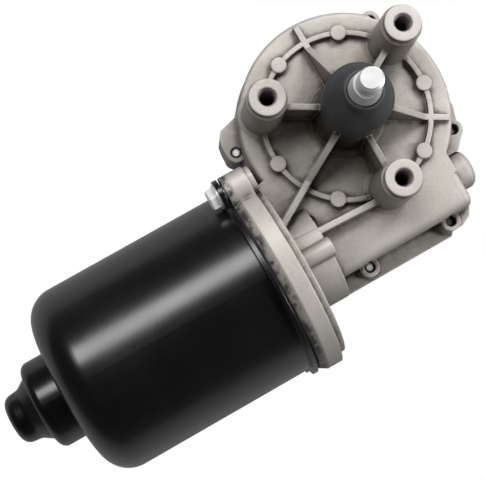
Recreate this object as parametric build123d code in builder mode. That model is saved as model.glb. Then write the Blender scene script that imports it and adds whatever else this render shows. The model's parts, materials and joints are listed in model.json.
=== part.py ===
from build123d import *

import os
from math import acos, atan, cos, degrees, pi, radians, sin, sqrt, tan

# Geared wiper motor: a permanent-magnet motor in a deep-drawn can drives a worm, the worm
# turns a wheel in a die-cast housing, and the wheel turns the output shaft at a right angle.
# Frame, in millimetres: the origin is on the output shaft, in the plane of the three boss
# faces; +Z points out along the shaft, and +X runs along the motor from can to gearbox.

# ------------------------------------------------------------------ driving dimensions
# worm gearing
gear_module = 1.0
wheel_teeth = 60
worm_pitch_r = 5.0
pressure_angle = 20.0
wheel_face_width = 11.0
worm_turns_each_side = 4     # whole turns on each side of the middle one
worm_runout = 1.5            # plain groove past each end of the thread
thread_sink = 0.25           # of the thread's foot in the worm's core
flank_clearance = 0.17       # between flanks, on each side of a tooth
root_clearance = 0.35        # between tips and roots

# place of the motor axis below the boss faces
axis_depth = 41.0

# clearances
running_clearance = 0.04     # shaft in bush, on the radius
assembly_clearance = 0.05    # part in its seat, on the radius
free_gap = 0.35              # between parts that pass each other

# mounting bosses
boss_circle_r = 29.0
boss_count = 3
boss_first_angle = 30.0
boss_face_r = 6.0
boss_top_r = 6.8             # at the shoulder
boss_root_r = 7.2
boss_collar_h = 3.0          # from the shoulder to the face
boss_flare = 1.3
boss_thread_r = 3.0          # over the threads
boss_thread_depth = 20.0
boss_mouth_chamfer = 0.3

# gear housing casting
floor_depth = 29.0           # pocket floor below the boss faces
floor_wall = 3.4
inner_hub_height = 2.5
bowl_clearance = 1.5
bowl_wall = 4.4
bowl_edge_r = 1.6
draft = 2.0
cover_below_wheel = 5.0      # room for the park disc and its contacts
root_overlap = 1.0           # how far ribs and bosses are sunk into what carries them
through_cut = 1.0            # how far a through cut runs past its far face
hub_top_depth = 3.0
hub_top_r = 9.9
hub_root_r = 11.8
hub_flare = 1.5
web_width = 2.1
web_top_depth = 13.5
gusset_top_depth = 8.0
gusset_foot_inset = 2.0      # foot of the slope, inside the ring rib
low_rib_height = 2.2
flange_rib_extra = 4.0       # the rib that meets the flange is higher
long_rib_extra = 4.0
long_rib_far_offset = 1.4    # outer side of the long rib, beyond the boss circle
long_rib_near_offset = 3.0
ring_rib_width = 1.7
pad_r = 2.7
pad_height = 2.6
pad_spread = 24.0            # pads each side of a gusset, in degrees
hump_r = 12.5                # half width of the worm housing
hump_edge_r = 4.5
hump_end_r = 2.0
relief_place = (-31.5, -26.3)
relief_r = 4.8
relief_depth = 2.0
worm_housing_end = 24.0
shoulder_left_y = 6.0
shoulder_angle = -12.0
shoulder_right_y = 27.6
ledge_reach = 19.0           # cover ledge beyond the motor axis
ledge_thickness = 5.0
ledge_set_back = 3.0
screw_beyond_hump = 1.5
nose_r = 7.3
nose_length = 7.6
nose_edge_r = 3.0
nose_taper = 0.3
nose_sink = 6.0
lug_r = 3.7
lug_top_depths = (39.5, 36.5, 39.5, 36.5, 38.0)
lug_hole_r = 2.0
lug_block_depth = 39.5       # top of the block beside the first lug
lug_ledge_depth = 46.0       # top of the ledge beside the second lug
lug_web_depth = 38.0         # top of the web between the worm housing and the fourth lug

# motor flange of the casting
flange_r = 37.2
flange_near_x = 42.0         # gearbox side, from the output shaft
flange_far_x = 50.3          # can side
flange_chamfer = 2.9
flange_chamfer_height = 1.75
flange_step_r = 34.5
flange_step = 2.5
flange_wall = 4.0
ear_circle_r = 39.0
ear_r = 5.4
ear_angle = 37.0
ear_boss_r = 4.6
ear_boss_length = 2.0
ear_hole_floor = 1.0
neck_r = 19.0
neck_end_x = 28.5
cable_boss_r = 3.5
cable_boss_y = -1.0          # beside the motor axis
cable_boss_sink = 1.0        # of its centre below the neck's skin
cable_boss_extra = 1.0       # beyond the neck

# passages inside the casting
cavity_step = 0.4            # bore of the flange against the bore of the can
bearing_shoulder = 3.0
shaft_passage = 3.0          # around the motor shaft
trough_clearance = 2.0
trough_near_wall = 2.5
trough_far_wall = 4.0
nose_wall = 2.7
nose_end_wall = 1.6

# motor can
can_r = 34.1
can_wall = 2.4
can_length = 77.7
can_corner_r = 11.0
can_crease_r = 0.6
smallest_bend_r = 0.2
can_lip_r = 36.4
can_lip = 1.6
can_gasket_thickness = 0.8
can_gasket_r = 35.0
seal_set_back = 0.3
ear_hole_r = 2.55
ear_screw_head_r = 4.4
ear_screw_head_h = 3.6
step_one_r = 16.0
step_one_length = 10.8
step_one_shoulder_r = 2.9
step_two_base_r = 12.1
step_two_waist_r = 9.3
step_two_r = 8.6
step_two_waist = 4.2
step_two_length = 10.4
step_two_waist_bend_r = 3.0
step_two_tip_r = 3.6

# motor inside
motor_shaft_r = 4.0
magnet_thickness = 7.2
magnet_length = 50.0
magnet_arc = 128.0
magnet_from_mouth = 14.0
magnet_clip_inset = 2.0      # of the clips from the magnets' ends
magnet_clip_play = 0.5       # degrees
magnet_clip_leg_angle = 1.6  # degrees from the magnet's side
magnet_clip_leg_inset = 0.75
air_gap = 0.7
core_length = 44.0
core_slots = 12
slot_width = 3.4
slot_floor_r = 11.0
slot_fill_inset = 1.1        # of the wire below the mouth of its slot
winding_overhang = 7.5
winding_top_inset = 1.0
winding_bottom_inset = 5.0
winding_bend_r = 2.5
commutator_r = 10.0
commutator_length = 13.0
commutator_bars = 12
commutator_gap = 0.6         # from the winding
commutator_sleeve = 2.4
riser_height = 1.4
riser_width = 1.8
bar_slot_depth = 1.7
bar_slot_width = 0.6
hub_extra = 1.0
bearing_r = 11.0
bearing_width = 7.0
bearing_inner_r = 5.9
clip_band = 2.4
clip_gap = 4.0
spring_clip_thickness = 0.8
rear_bush_r = 7.6
rear_bush_length = 10.0
rear_bush_nose = 1.8         # how far its ends are turned down
rear_bush_nose_length = 1.6
rear_bush_inset = 3.0        # beyond the bottom of the first step
retainer_slots = 6
retainer_slot_depth = 2.5
retainer_slot_width = 3.0
retainer_bore_gap = 1.0
rear_ball_r = 1.6
end_journal_r = 3.0
end_journal_shoulder = 0.5
thrust_pad_thickness = 1.2
brush_plate_thickness = 2.4
brush_width = 5.0
brush_height = 6.0
brush_length = 11.0
brush_angles = (0.0, 180.0, 235.0)
brush_plate_inset = 1.5      # inside the flange
brush_plate_bore_gap = 2.0
holder_set_back = 1.4        # from the commutator
spring_space = 4.5
spring_wall = 0.6
spring_room = 0.4
holder_wall = 0.8
choke_r = 2.4
choke_length = 14.0
choke_angles = (90.0, 300.0)
choke_circle_r = 20.5
breaker_angle = 140.0
breaker_circle_r = 17.0
breaker_size = (11.0, 5.0, 6.0)

# output shaft and its seals
shaft_r = 6.0
taper_z = 14.6               # where the taper starts
shaft_neck_r = 5.3
shaft_neck_z = 0.6           # top of the full journal
taper_top_r = 4.6
taper_length = 6.0
thread_end_r = 3.95
shaft_bottom_gap = 1.6       # between the shaft and the cover
knurl_insert_r = 10.0
wheel_web = 3.4
wheel_rim = 3.2
wheel_hub_wall = 2.4
spoke_count = 6
spoke_width = 1.6
insert_sides = 12
park_disc_thickness = 0.7
park_disc_inner_r = 13.0
park_disc_inset = 4.15       # inside the roots of the wheel's teeth
park_notch_angle = 80.0
ring_thickness = 1.0
ring_r = 8.0
ring_room = 0.8              # between the retaining ring and the boot
ring_rim = 0.4
shaft_tip_z = 28.0
tip_chamfer = 0.5
bush_wall = 2.5
bush_length = 12.0
boot_skirt_r = 11.3
boot_skirt_depth = 6.0
boot_skirt_top_z = 2.6
boot_wall = 1.1
boot_collar_r = 6.3
boot_top_z = 14.0
boot_lip_r = 5.85            # inside of the lip
boot_lip_depth = 1.2
boot_flare = 0.2             # of the skirt's free edge
boot_shoulder_inset = 1.1
boot_shoulder_z = 4.2
boot_waist_z = 7.6
boot_waist_extra = 1.6       # radius at the waist beyond the collar
boot_collar_z = 10.6         # where the collar starts
boot_bead = 0.35

# cover, its seal and its screws
gasket_thickness = 0.5
cover_thickness = 2.5
cover_neck_room = 0.5
cover_rim_wall = 1.8         # locating rim inside the bowl
cover_rim_height = 2.0
cover_rim_gap = 0.3
cover_rib_width = 1.6
cover_rib_count = 8
cover_button_extra = 3.0
cover_rib_height = 1.6
screw_head_r = 3.4
screw_head_h = 2.4
screw_shank_r = 1.65
screw_tip_chamfer = 0.5
screw_length = 14.5
screw_room = 0.1
cover_rib_ring_r = 24.0

# connector on the back
socket_width = 30.0
socket_height = 14.0
socket_length = 22.0
socket_wall = 1.8
socket_back = 3.0
socket_corner_r = 2.0
socket_bore_corner_r = 1.2
terminal_set_back = 5.0      # of the blades inside the mouth
socket_y = 10.0              # where its back wall stands
terminal_count = 5
terminal_width = 2.8
terminal_thickness = 0.8
contact_thickness = 0.4
contact_width = 2.6
contact_radii = (15.5, 19.0, 22.5)
contact_rim_gap = 1.9        # from the cover's rim
contact_foot = 3.5
contact_heel = (1.6, 1.0)
contact_lane_gap = 1.4

# ------------------------------------------------------------------ derived places
wheel_pitch_r = gear_module * wheel_teeth / 2
wheel_tip_r = wheel_pitch_r + gear_module
wheel_root_r = wheel_pitch_r - gear_module - root_clearance
park_disc_outer_r = wheel_root_r - park_disc_inset
worm_tip_r = worm_pitch_r + gear_module
worm_root_r = worm_pitch_r - gear_module - root_clearance
worm_lead = pi * gear_module
lead_slope = worm_lead / (2 * pi * worm_pitch_r)

axis_y = -(wheel_pitch_r + worm_pitch_r)
axis_z = -axis_depth
wheel_bottom_z = axis_z - wheel_face_width / 2
wheel_top_z = axis_z + wheel_face_width / 2

floor_z = -floor_depth
inner_floor_z = floor_z - floor_wall
inner_hub_z = inner_floor_z - inner_hub_height
parting_z = wheel_bottom_z - cover_below_wheel
bowl_bore_r = wheel_tip_r + bowl_clearance
bowl_r = bowl_bore_r + bowl_wall
bowl_root_r = bowl_r + (floor_z - parting_z) * tan(radians(draft))
hub_top_z = -hub_top_depth
bush_outer_r = shaft_r + bush_wall
low_rib_z = floor_z + low_rib_height
cover_top_z = parting_z - gasket_thickness
cover_bottom_z = cover_top_z - cover_thickness

flange_x = -flange_far_x
flange_gear_x = -flange_near_x
flange_step_x = flange_gear_x + flange_step
cavity_r = can_r - can_wall - cavity_step
cavity_end_x = flange_step_x - flange_wall
bearing_x = -neck_end_x - bearing_shoulder
trough_r = worm_tip_r + trough_clearance
trough_x = -neck_end_x + trough_near_wall
trough_far_x = worm_housing_end - trough_far_wall

mouth_x = flange_x - can_gasket_thickness
can_end_x = mouth_x - can_length
nose_bore_r = nose_r - nose_wall
nose_end_x = worm_housing_end + nose_length - nose_end_wall
can_bore_r = can_r - can_wall
step_one_x = can_end_x - step_one_length
step_two_x = step_one_x - step_two_length
magnet_r = can_bore_r - assembly_clearance
magnet_bore_r = magnet_r - magnet_thickness
magnet_x = mouth_x - magnet_from_mouth - magnet_length
core_r = magnet_bore_r - air_gap
core_x = magnet_x + (magnet_length - core_length) / 2

boss_angles = [boss_first_angle + n * 360 / boss_count for n in range(boss_count)]
gusset_angles = [angle + 180 / boss_count for angle in boss_angles]
lug_places = [
    Vector(-37.9, 8.9),
    Vector(32.4, -21.4),
    Vector(-17.1, axis_y - hump_r - screw_beyond_hump),
    Vector(15.3, axis_y - hump_r - screw_beyond_hump),
    Vector(26.8, 26.8),
]
lug_block = ((-33.0, 9.0), (-41.5, 9.0), (-41.4, 12.6), (-40.9, 15.5), (-39.0, 18.2), (-31.0, 20.4))
lug_ledge = ((28.0, -8.0), (38.9, -9.4), (39.6, -13.0), (38.0, -18.5), (35.8, -21.4), (28.0, -22.0))
lug_foot = ((24.0, -20.0), (35.4, -23.4), (33.3, -25.4), (30.2, -28.6), (24.0, -28.6))
lug_web = ((15.3, -44.0), (23.0, -40.0), (26.2, -43.6), (22.4, -50.4), (18.8, -52.2), (15.3, -52.5))

motor_axis = Axis((0, axis_y, axis_z), (1, 0, 0))
motor_side = Plane(origin=(0, axis_y, axis_z), x_dir=(1, 0, 0), z_dir=(0, -1, 0))


def across(x):
    """Plane square to the motor axis at x: its own x is +Y and its own y is +Z."""
    return Plane(origin=(x, axis_y, axis_z), x_dir=(0, 1, 0), z_dir=(1, 0, 0))


def radial(angle):
    """Upright plane through the output shaft: its own x runs outwards, its own y is +Z."""
    outwards = Vector(1, 0).rotate(Axis.Z, angle)
    return Plane(origin=(0, 0, 0), x_dir=outwards, z_dir=outwards.cross(Vector(0, 0, 1)))


def level(z):
    """Horizontal plane at height z."""
    return Plane.XY.offset(z)


def ring_sketch(plane, outer_r, inner_r):
    """Flat ring on a plane."""
    with BuildSketch(plane) as ring:
        Circle(outer_r)
        Circle(inner_r, mode=Mode.SUBTRACT)
    return ring.sketch


# ------------------------------------------------------------------ gear housing outlines
def body_outline():
    """Outline of the gear housing at the parting plane, lugs and ledge included."""
    with BuildSketch() as outline:
        Circle(bowl_root_r)
        with BuildLine():
            Polyline(
                (-neck_end_x, -shoulder_left_y),
                (-neck_end_x, axis_y - hump_r),
                (worm_housing_end, axis_y - hump_r),
                (worm_housing_end, -shoulder_right_y),
                (bowl_root_r * cos(radians(shoulder_angle)), bowl_root_r * sin(radians(shoulder_angle))),
                (0, 0),
                close=True,
            )
        make_face()
        with BuildLine():
            Polyline(
                (-neck_end_x, axis_y),
                (-neck_end_x, axis_y - ledge_reach),
                (lug_places[3].X, axis_y - ledge_reach),
                (worm_housing_end - ledge_set_back, axis_y - hump_r),
                (worm_housing_end - ledge_set_back, axis_y),
                close=True,
            )
        make_face()
        with Locations(*lug_places):
            Circle(lug_r)
        for corners in (lug_block, lug_ledge, lug_foot, lug_web):
            Polygon(*corners, align=None)
    return outline.sketch


housing_outline = body_outline()

# ------------------------------------------------------------------ gear housing
with BuildPart() as gear_housing:
    # round bowl with its draft and rounded face edge
    with BuildSketch(level(parting_z)):
        Circle(bowl_root_r)
    extrude(amount=floor_z - parting_z, taper=draft)
    fillet(gear_housing.edges().group_by(Axis.Z)[-1], bowl_edge_r)

    # shoulders that fill the corners between the bowl and the worm housing
    with BuildSketch(level(parting_z)):
        with BuildLine():
            Polyline(
                (flange_step_x, -shoulder_left_y),
                (flange_step_x, axis_y),
                (worm_housing_end, axis_y),
                (worm_housing_end, -shoulder_right_y),
                (bowl_r * cos(radians(shoulder_angle)), bowl_r * sin(radians(shoulder_angle))),
                (0, 0),
                close=True,
            )
        make_face()
    extrude(amount=floor_z - parting_z)

    # flat worm housing with a round outer edge and a softened end
    with BuildPart(mode=Mode.PRIVATE) as worm_housing:
        with BuildSketch(level(parting_z)):
            with Locations(((flange_step_x + worm_housing_end) / 2, axis_y)):
                Rectangle(worm_housing_end - flange_step_x, 2 * hump_r)
        extrude(amount=floor_z - parting_z)
        hump_edge = worm_housing.edges().filter_by(Axis.X).group_by(Axis.Z)[-1].sort_by(Axis.Y)[0]
        fillet(hump_edge, hump_edge_r)
        hump_end = worm_housing.faces().sort_by(Axis.X)[-1].edges().filter_by_position(
            Axis.Z, axis_z, floor_z, (False, True)
        )
        fillet(hump_end, hump_end_r)
    add(worm_housing.part)

    # ledge and lugs that carry the cover
    with BuildSketch(level(parting_z)):
        add(housing_outline)
    extrude(amount=ledge_thickness)
    for place, top_depth in zip(lug_places, lug_top_depths):
        with BuildSketch(level(parting_z)):
            with Locations(place):
                Circle(lug_r)
        extrude(amount=-top_depth - parting_z, taper=draft / 2)
    for corners, top_depth in (
        (lug_block, lug_block_depth),
        (lug_ledge, lug_ledge_depth),
        (lug_foot, lug_top_depths[1]),
        (lug_web, lug_web_depth),
    ):
        with BuildSketch(level(parting_z)):
            Polygon(*corners, align=None)
        extrude(amount=-top_depth - parting_z)

    # nose that holds the far end of the worm
    with BuildSketch(motor_side) as nose:
        with BuildLine():
            Polyline(
                (worm_housing_end - nose_sink, 0),
                (worm_housing_end - nose_sink, nose_r),
                (worm_housing_end + nose_length, nose_r - nose_taper),
                (worm_housing_end + nose_length, 0),
                close=True,
            )
        make_face()
        fillet(nose.vertices().group_by(Axis.X)[-1].sort_by(Axis.Y)[-1], nose_edge_r)
    revolve(axis=motor_axis)

    # neck and motor flange
    with BuildSketch(across(flange_step_x)):
        Circle(neck_r)
    extrude(amount=-neck_end_x - flange_step_x)
    with BuildSketch(across(flange_step_x)):
        with Locations((cable_boss_y, neck_r - cable_boss_sink)):
            Circle(cable_boss_r)
    extrude(amount=-neck_end_x + cable_boss_extra - flange_step_x)
    with BuildSketch(motor_side):
        with BuildLine():
            Polyline(
                (flange_x, 0),
                (flange_x, flange_r - flange_chamfer_height),
                (flange_x + flange_chamfer, flange_r),
                (flange_gear_x, flange_r),
                (flange_gear_x, flange_step_r),
                (flange_step_x, flange_step_r),
                (flange_step_x, 0),
                close=True,
            )
        make_face()
    revolve(axis=motor_axis)
    with BuildSketch(across(flange_x)):
        with PolarLocations(ear_circle_r, 2, start_angle=ear_angle):
            Circle(ear_r)
            with Locations((-ear_r, 0)):
                Rectangle(2 * ear_r, 2 * ear_r)
    extrude(amount=flange_gear_x - flange_x)
    with BuildSketch(across(flange_gear_x)):
        with PolarLocations(ear_circle_r, 2, start_angle=ear_angle):
            Circle(ear_boss_r)
    extrude(amount=ear_boss_length)

    # hub around the output shaft
    with BuildSketch(radial(0)):
        with BuildLine():
            Polyline(
                (0, inner_floor_z),
                (hub_root_r + hub_flare, inner_floor_z),
                (hub_root_r + hub_flare, floor_z),
                (hub_root_r, floor_z + hub_flare),
                (hub_top_r, hub_top_z),
                (0, hub_top_z),
                close=True,
            )
        make_face()
    revolve(axis=Axis.Z)

    # three mounting bosses, each tied to the hub by a web
    for angle in boss_angles:
        centre = Vector(boss_circle_r, 0).rotate(Axis.Z, angle)
        boss_plane = Plane(origin=centre, x_dir=centre.normalized(), z_dir=radial(angle).z_dir)
        with BuildSketch(boss_plane):
            with BuildLine():
                Polyline(
                    (0, floor_z - root_overlap),
                    (boss_root_r + boss_flare, floor_z - root_overlap),
                    (boss_root_r + boss_flare, floor_z),
                    (boss_root_r, floor_z + boss_flare),
                    (boss_top_r, -boss_collar_h),
                    (boss_face_r, -boss_collar_h),
                    (boss_face_r, 0),
                    (0, 0),
                    close=True,
                )
            make_face()
        revolve(axis=Axis(centre, (0, 0, 1)))
        with BuildSketch(radial(angle)):
            with BuildLine():
                Polyline(
                    (0, floor_z - root_overlap),
                    (boss_circle_r, floor_z - root_overlap),
                    (boss_circle_r, -web_top_depth),
                    (0, -web_top_depth),
                    close=True,
                )
            make_face()
        extrude(amount=web_width / 2, both=True)

    # gussets that fall from the hub to the ring rib and run out to the edge
    for angle in gusset_angles:
        reach = bowl_r - bowl_edge_r
        outer_z = low_rib_z
        if cos(radians(angle)) < 0 and sin(radians(angle)) < 0:
            reach = flange_step_x / cos(radians(angle))
            outer_z = low_rib_z + flange_rib_extra
        with BuildSketch(radial(angle)):
            with BuildLine():
                Polyline(
                    (hub_top_r - root_overlap, floor_z - root_overlap),
                    (reach, floor_z - root_overlap),
                    (reach, outer_z),
                    (boss_circle_r - gusset_foot_inset, outer_z),
                    (hub_top_r, -gusset_top_depth),
                    (hub_top_r - root_overlap, -gusset_top_depth),
                    close=True,
                )
            make_face()
        extrude(amount=web_width / 2, both=True)

    # long rib from the lowest boss to the flange
    with BuildSketch(level(floor_z - root_overlap)):
        with BuildLine():
            Polyline(
                (0, -boss_circle_r - long_rib_near_offset),
                (flange_step_x, -boss_circle_r - long_rib_far_offset),
                (flange_step_x, -boss_circle_r - long_rib_far_offset + web_width),
                (0, -boss_circle_r - long_rib_near_offset + web_width),
                close=True,
            )
        make_face()
    extrude(amount=root_overlap + low_rib_height + long_rib_extra)

    # ring rib and ejector pads
    with BuildSketch(level(floor_z)):
        Circle(boss_circle_r + ring_rib_width / 2)
        Circle(boss_circle_r - ring_rib_width / 2, mode=Mode.SUBTRACT)
    extrude(amount=low_rib_height)
    with BuildSketch(level(floor_z)):
        for angle in gusset_angles:
            for side in (-1, 1):
                with Locations(Vector(boss_circle_r, 0).rotate(Axis.Z, angle + side * pad_spread)):
                    Circle(pad_r)
    extrude(amount=pad_height)

    # scooped relief in the floor beside the flange
    with BuildSketch(level(floor_z)):
        with Locations(relief_place):
            Circle(relief_r)
    extrude(amount=-relief_depth, mode=Mode.SUBTRACT)

    # gear chamber, worm trough and worm bore
    with BuildSketch(level(parting_z)):
        Circle(bowl_bore_r)
    extrude(amount=inner_floor_z - parting_z, mode=Mode.SUBTRACT)
    with BuildSketch(level(inner_hub_z)):
        Circle(hub_root_r)
    extrude(amount=inner_hub_height)
    with BuildSketch(across(trough_x)):
        Circle(trough_r)
        with Locations((0, (parting_z - axis_z) / 2)):
            Rectangle(2 * trough_r, axis_z - parting_z)
    extrude(amount=trough_far_x - trough_x, mode=Mode.SUBTRACT)

    # bearing seats along the motor axis
    with BuildSketch(across(trough_far_x - through_cut)):
        Circle(nose_bore_r)
    extrude(amount=nose_end_x - trough_far_x + through_cut, mode=Mode.SUBTRACT)
    with BuildSketch(across(bearing_x)):
        Circle(motor_shaft_r + shaft_passage)
    extrude(amount=trough_x - bearing_x, mode=Mode.SUBTRACT)
    with BuildSketch(across(bearing_x)):
        Circle(bearing_r + assembly_clearance)
    extrude(amount=cavity_end_x - bearing_x, mode=Mode.SUBTRACT)
    with BuildSketch(across(cavity_end_x)):
        Circle(cavity_r)
    extrude(amount=flange_x - cavity_end_x, mode=Mode.SUBTRACT)

    # bore for the output shaft bushes
    with BuildSketch(level(hub_top_z)):
        Circle(bush_outer_r + assembly_clearance)
    extrude(amount=inner_hub_z - through_cut - hub_top_z, mode=Mode.SUBTRACT)

    # threaded holes in the bosses, screw holes in the lugs and ears
    for angle in boss_angles:
        centre = Vector(boss_circle_r, 0).rotate(Axis.Z, angle)
        with Locations(centre):
            CounterSinkHole(
                boss_thread_r,
                boss_thread_r + boss_mouth_chamfer,
                depth=boss_thread_depth,
                counter_sink_angle=90,
            )
    with BuildSketch(level(parting_z)):
        with Locations(*lug_places):
            Circle(lug_hole_r)
    extrude(amount=-parting_z, mode=Mode.SUBTRACT)
    with BuildSketch(across(flange_x)):
        with PolarLocations(ear_circle_r, 2, start_angle=ear_angle):
            Circle(ear_hole_r)
    extrude(amount=flange_gear_x + ear_boss_length - ear_hole_floor - flange_x, mode=Mode.SUBTRACT)


# ------------------------------------------------------------------ output shaft
lower_bush_z = inner_hub_z
upper_bush_z = hub_top_z - bush_length
shaft_bottom_z = cover_top_z + shaft_bottom_gap

with BuildPart() as output_shaft:
    with BuildSketch(radial(0)) as shaft_profile:
        with BuildLine():
            Polyline(
                (0, shaft_bottom_z),
                (shaft_r, shaft_bottom_z),
                (shaft_r, shaft_neck_z),
                (shaft_neck_r, shaft_neck_z + shaft_r - shaft_neck_r),
                (shaft_neck_r, taper_z),
                (taper_top_r, taper_z + taper_length),
                (thread_end_r, taper_z + taper_length),
                (thread_end_r, shaft_tip_z),
                (0, shaft_tip_z),
                close=True,
            )
        make_face()
        chamfer(shaft_profile.vertices().group_by(Axis.Y)[-1].sort_by(Axis.X)[-1], tip_chamfer)
    revolve(axis=Axis.Z)

with BuildPart() as output_bush_upper:
    upper_ring = ring_sketch(level(upper_bush_z), bush_outer_r, shaft_r + running_clearance)
    extrude(upper_ring, amount=bush_length)

with BuildPart() as output_bush_lower:
    lower_ring = ring_sketch(level(lower_bush_z), bush_outer_r, shaft_r + running_clearance)
    extrude(lower_ring, amount=bush_length)

seal_r = (bush_wall - running_clearance) / 2 - assembly_clearance
with BuildPart() as shaft_oring:
    with BuildSketch(radial(0)):
        with Locations((shaft_r + running_clearance + seal_r, upper_bush_z - seal_r)):
            Circle(seal_r - assembly_clearance)
    revolve(axis=Axis.Z)

with BuildPart() as shaft_washer:
    extrude(ring_sketch(level(hub_top_z), ring_r, shaft_r + assembly_clearance), amount=ring_thickness)

with BuildPart() as shaft_retaining_ring:
    with BuildSketch(level(hub_top_z + ring_thickness)):
        Circle(ring_r - ring_rim)
        Circle(shaft_r + assembly_clearance, mode=Mode.SUBTRACT)
        with Locations((ring_r, 0)):
            Rectangle(2 * ring_r - shaft_r, ring_thickness * 2, mode=Mode.SUBTRACT)
    extrude(amount=ring_thickness)

# rubber boot, gripping the outside of the hub and wiping the shaft
boot_skirt_inner_r = hub_top_r + (hub_root_r - hub_top_r) * boot_skirt_depth / (floor_depth - hub_top_depth)
with BuildPart() as shaft_boot:
    with BuildSketch(radial(0)):
        with BuildLine():
            Polyline(
                (boot_skirt_inner_r, -boot_skirt_depth),
                (boot_skirt_r + boot_flare, -boot_skirt_depth),
                (boot_skirt_r, boot_skirt_top_z),
                (boot_skirt_r - boot_shoulder_inset, boot_shoulder_z),
            )
            Spline(
                (boot_skirt_r - boot_shoulder_inset, boot_shoulder_z),
                (boot_collar_r + boot_waist_extra, boot_waist_z),
                (boot_collar_r, boot_collar_z),
                tangents=((-0.35, 1), (-0.1, 1)),
            )
            Polyline(
                (boot_collar_r, boot_collar_z),
                (boot_collar_r + boot_bead, boot_collar_z + 2 * boot_bead),
                (boot_collar_r, boot_top_z - 3 * boot_bead),
                (boot_collar_r - boot_bead, boot_top_z),
                (boot_lip_r, boot_top_z),
                (shaft_neck_r + running_clearance, boot_top_z - boot_lip_depth),
                (shaft_neck_r + running_clearance, boot_collar_z + boot_bead),
                (boot_collar_r - boot_wall / 2, boot_collar_z - boot_wall - boot_bead),
                (boot_skirt_r - boot_shoulder_inset - boot_wall - boot_bead, boot_shoulder_z),
                (ring_r + ring_room, hub_top_z),
                (boot_skirt_inner_r, hub_top_z),
                (boot_skirt_inner_r, -boot_skirt_depth),
            )
        make_face()
    revolve(axis=Axis.Z)

# ------------------------------------------------------------------ worm wheel
tooth_pitch = 360 / wheel_teeth
wheel_twist = degrees(lead_slope * wheel_face_width / wheel_pitch_r)


def tooth_half_angle(r):
    """Half of the angle that one involute wheel tooth fills at radius r."""
    pressure = radians(pressure_angle)
    local = acos(wheel_pitch_r * cos(pressure) / r)
    at_pitch = (pi * gear_module / 4 - flank_clearance / 2) / wheel_pitch_r
    return degrees(at_pitch + (tan(pressure) - pressure) - (tan(local) - local))


def tooth_points(turn):
    """Outline of all wheel teeth in one plane, turned by an angle, one tooth facing the worm."""
    points = []
    for tooth in range(wheel_teeth):
        middle = tooth * tooth_pitch - 90 + turn
        flank = [(r, tooth_half_angle(r)) for r in (wheel_root_r, wheel_pitch_r, wheel_tip_r)]
        for r, half in flank:
            points.append(Vector(r, 0).rotate(Axis.Z, middle - half))
        for r, half in reversed(flank):
            points.append(Vector(r, 0).rotate(Axis.Z, middle + half))
    return points


with BuildPart() as gear_wheel:
    for height, turn in ((wheel_bottom_z, -wheel_twist / 2), (wheel_top_z, wheel_twist / 2)):
        with BuildSketch(level(height)):
            with BuildLine():
                Polyline(*tooth_points(turn), close=True)
            make_face()
    loft(ruled=True)
    # pockets above and below the web, and the bore for the steel insert
    web_z = axis_z - wheel_web / 2
    pocket_outer_r = wheel_root_r - wheel_rim
    pocket_inner_r = knurl_insert_r + wheel_hub_wall
    upper_pocket = ring_sketch(level(wheel_top_z), pocket_outer_r, pocket_inner_r)
    extrude(upper_pocket, amount=web_z + wheel_web - wheel_top_z, mode=Mode.SUBTRACT)
    lower_pocket = ring_sketch(level(web_z), pocket_outer_r, pocket_inner_r)
    extrude(lower_pocket, amount=wheel_bottom_z - web_z, mode=Mode.SUBTRACT)
    with BuildSketch(level(wheel_bottom_z)):
        RegularPolygon(knurl_insert_r, insert_sides)
    extrude(amount=wheel_face_width, mode=Mode.SUBTRACT)
    # spokes across the upper pocket
    with BuildSketch(level(web_z + wheel_web)):
        with PolarLocations((pocket_outer_r + pocket_inner_r) / 2, spoke_count):
            Rectangle(pocket_outer_r - pocket_inner_r + wheel_hub_wall / 2, spoke_width)
    extrude(amount=wheel_top_z - web_z - wheel_web)

with BuildPart() as wheel_insert:
    with BuildSketch(level(wheel_bottom_z)):
        RegularPolygon(knurl_insert_r - assembly_clearance, insert_sides)
        Circle(shaft_r + assembly_clearance / 2, mode=Mode.SUBTRACT)
    extrude(amount=wheel_face_width)

with BuildPart() as thrust_washer:
    washer_ring = ring_sketch(level(wheel_top_z), knurl_insert_r, shaft_r + assembly_clearance)
    extrude(washer_ring, amount=inner_hub_z - assembly_clearance - wheel_top_z)

with BuildPart() as park_disc:
    with BuildSketch(level(wheel_bottom_z)):
        Circle(park_disc_outer_r)
        Circle(park_disc_inner_r, mode=Mode.SUBTRACT)
        with PolarLocations((contact_radii[1] + contact_radii[2]) / 2, 1, start_angle=park_notch_angle):
            Rectangle(
                park_disc_outer_r,
                park_disc_inner_r,
                align=(Align.MIN, Align.CENTER),
                mode=Mode.SUBTRACT,
            )
    extrude(amount=-park_disc_thickness)

# ------------------------------------------------------------------ armature
rear_ball_x = step_two_x + can_wall + rear_ball_r + assembly_clearance
shaft_rear_x = rear_ball_x + rear_ball_r + assembly_clearance
pad_x = nose_end_x - thrust_pad_thickness - assembly_clearance
shaft_front_x = pad_x - assembly_clearance
end_journal_x = trough_far_x
worm_start_x = -(worm_turns_each_side + 0.5) * worm_lead
worm_neck_x = worm_runout - worm_start_x

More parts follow.
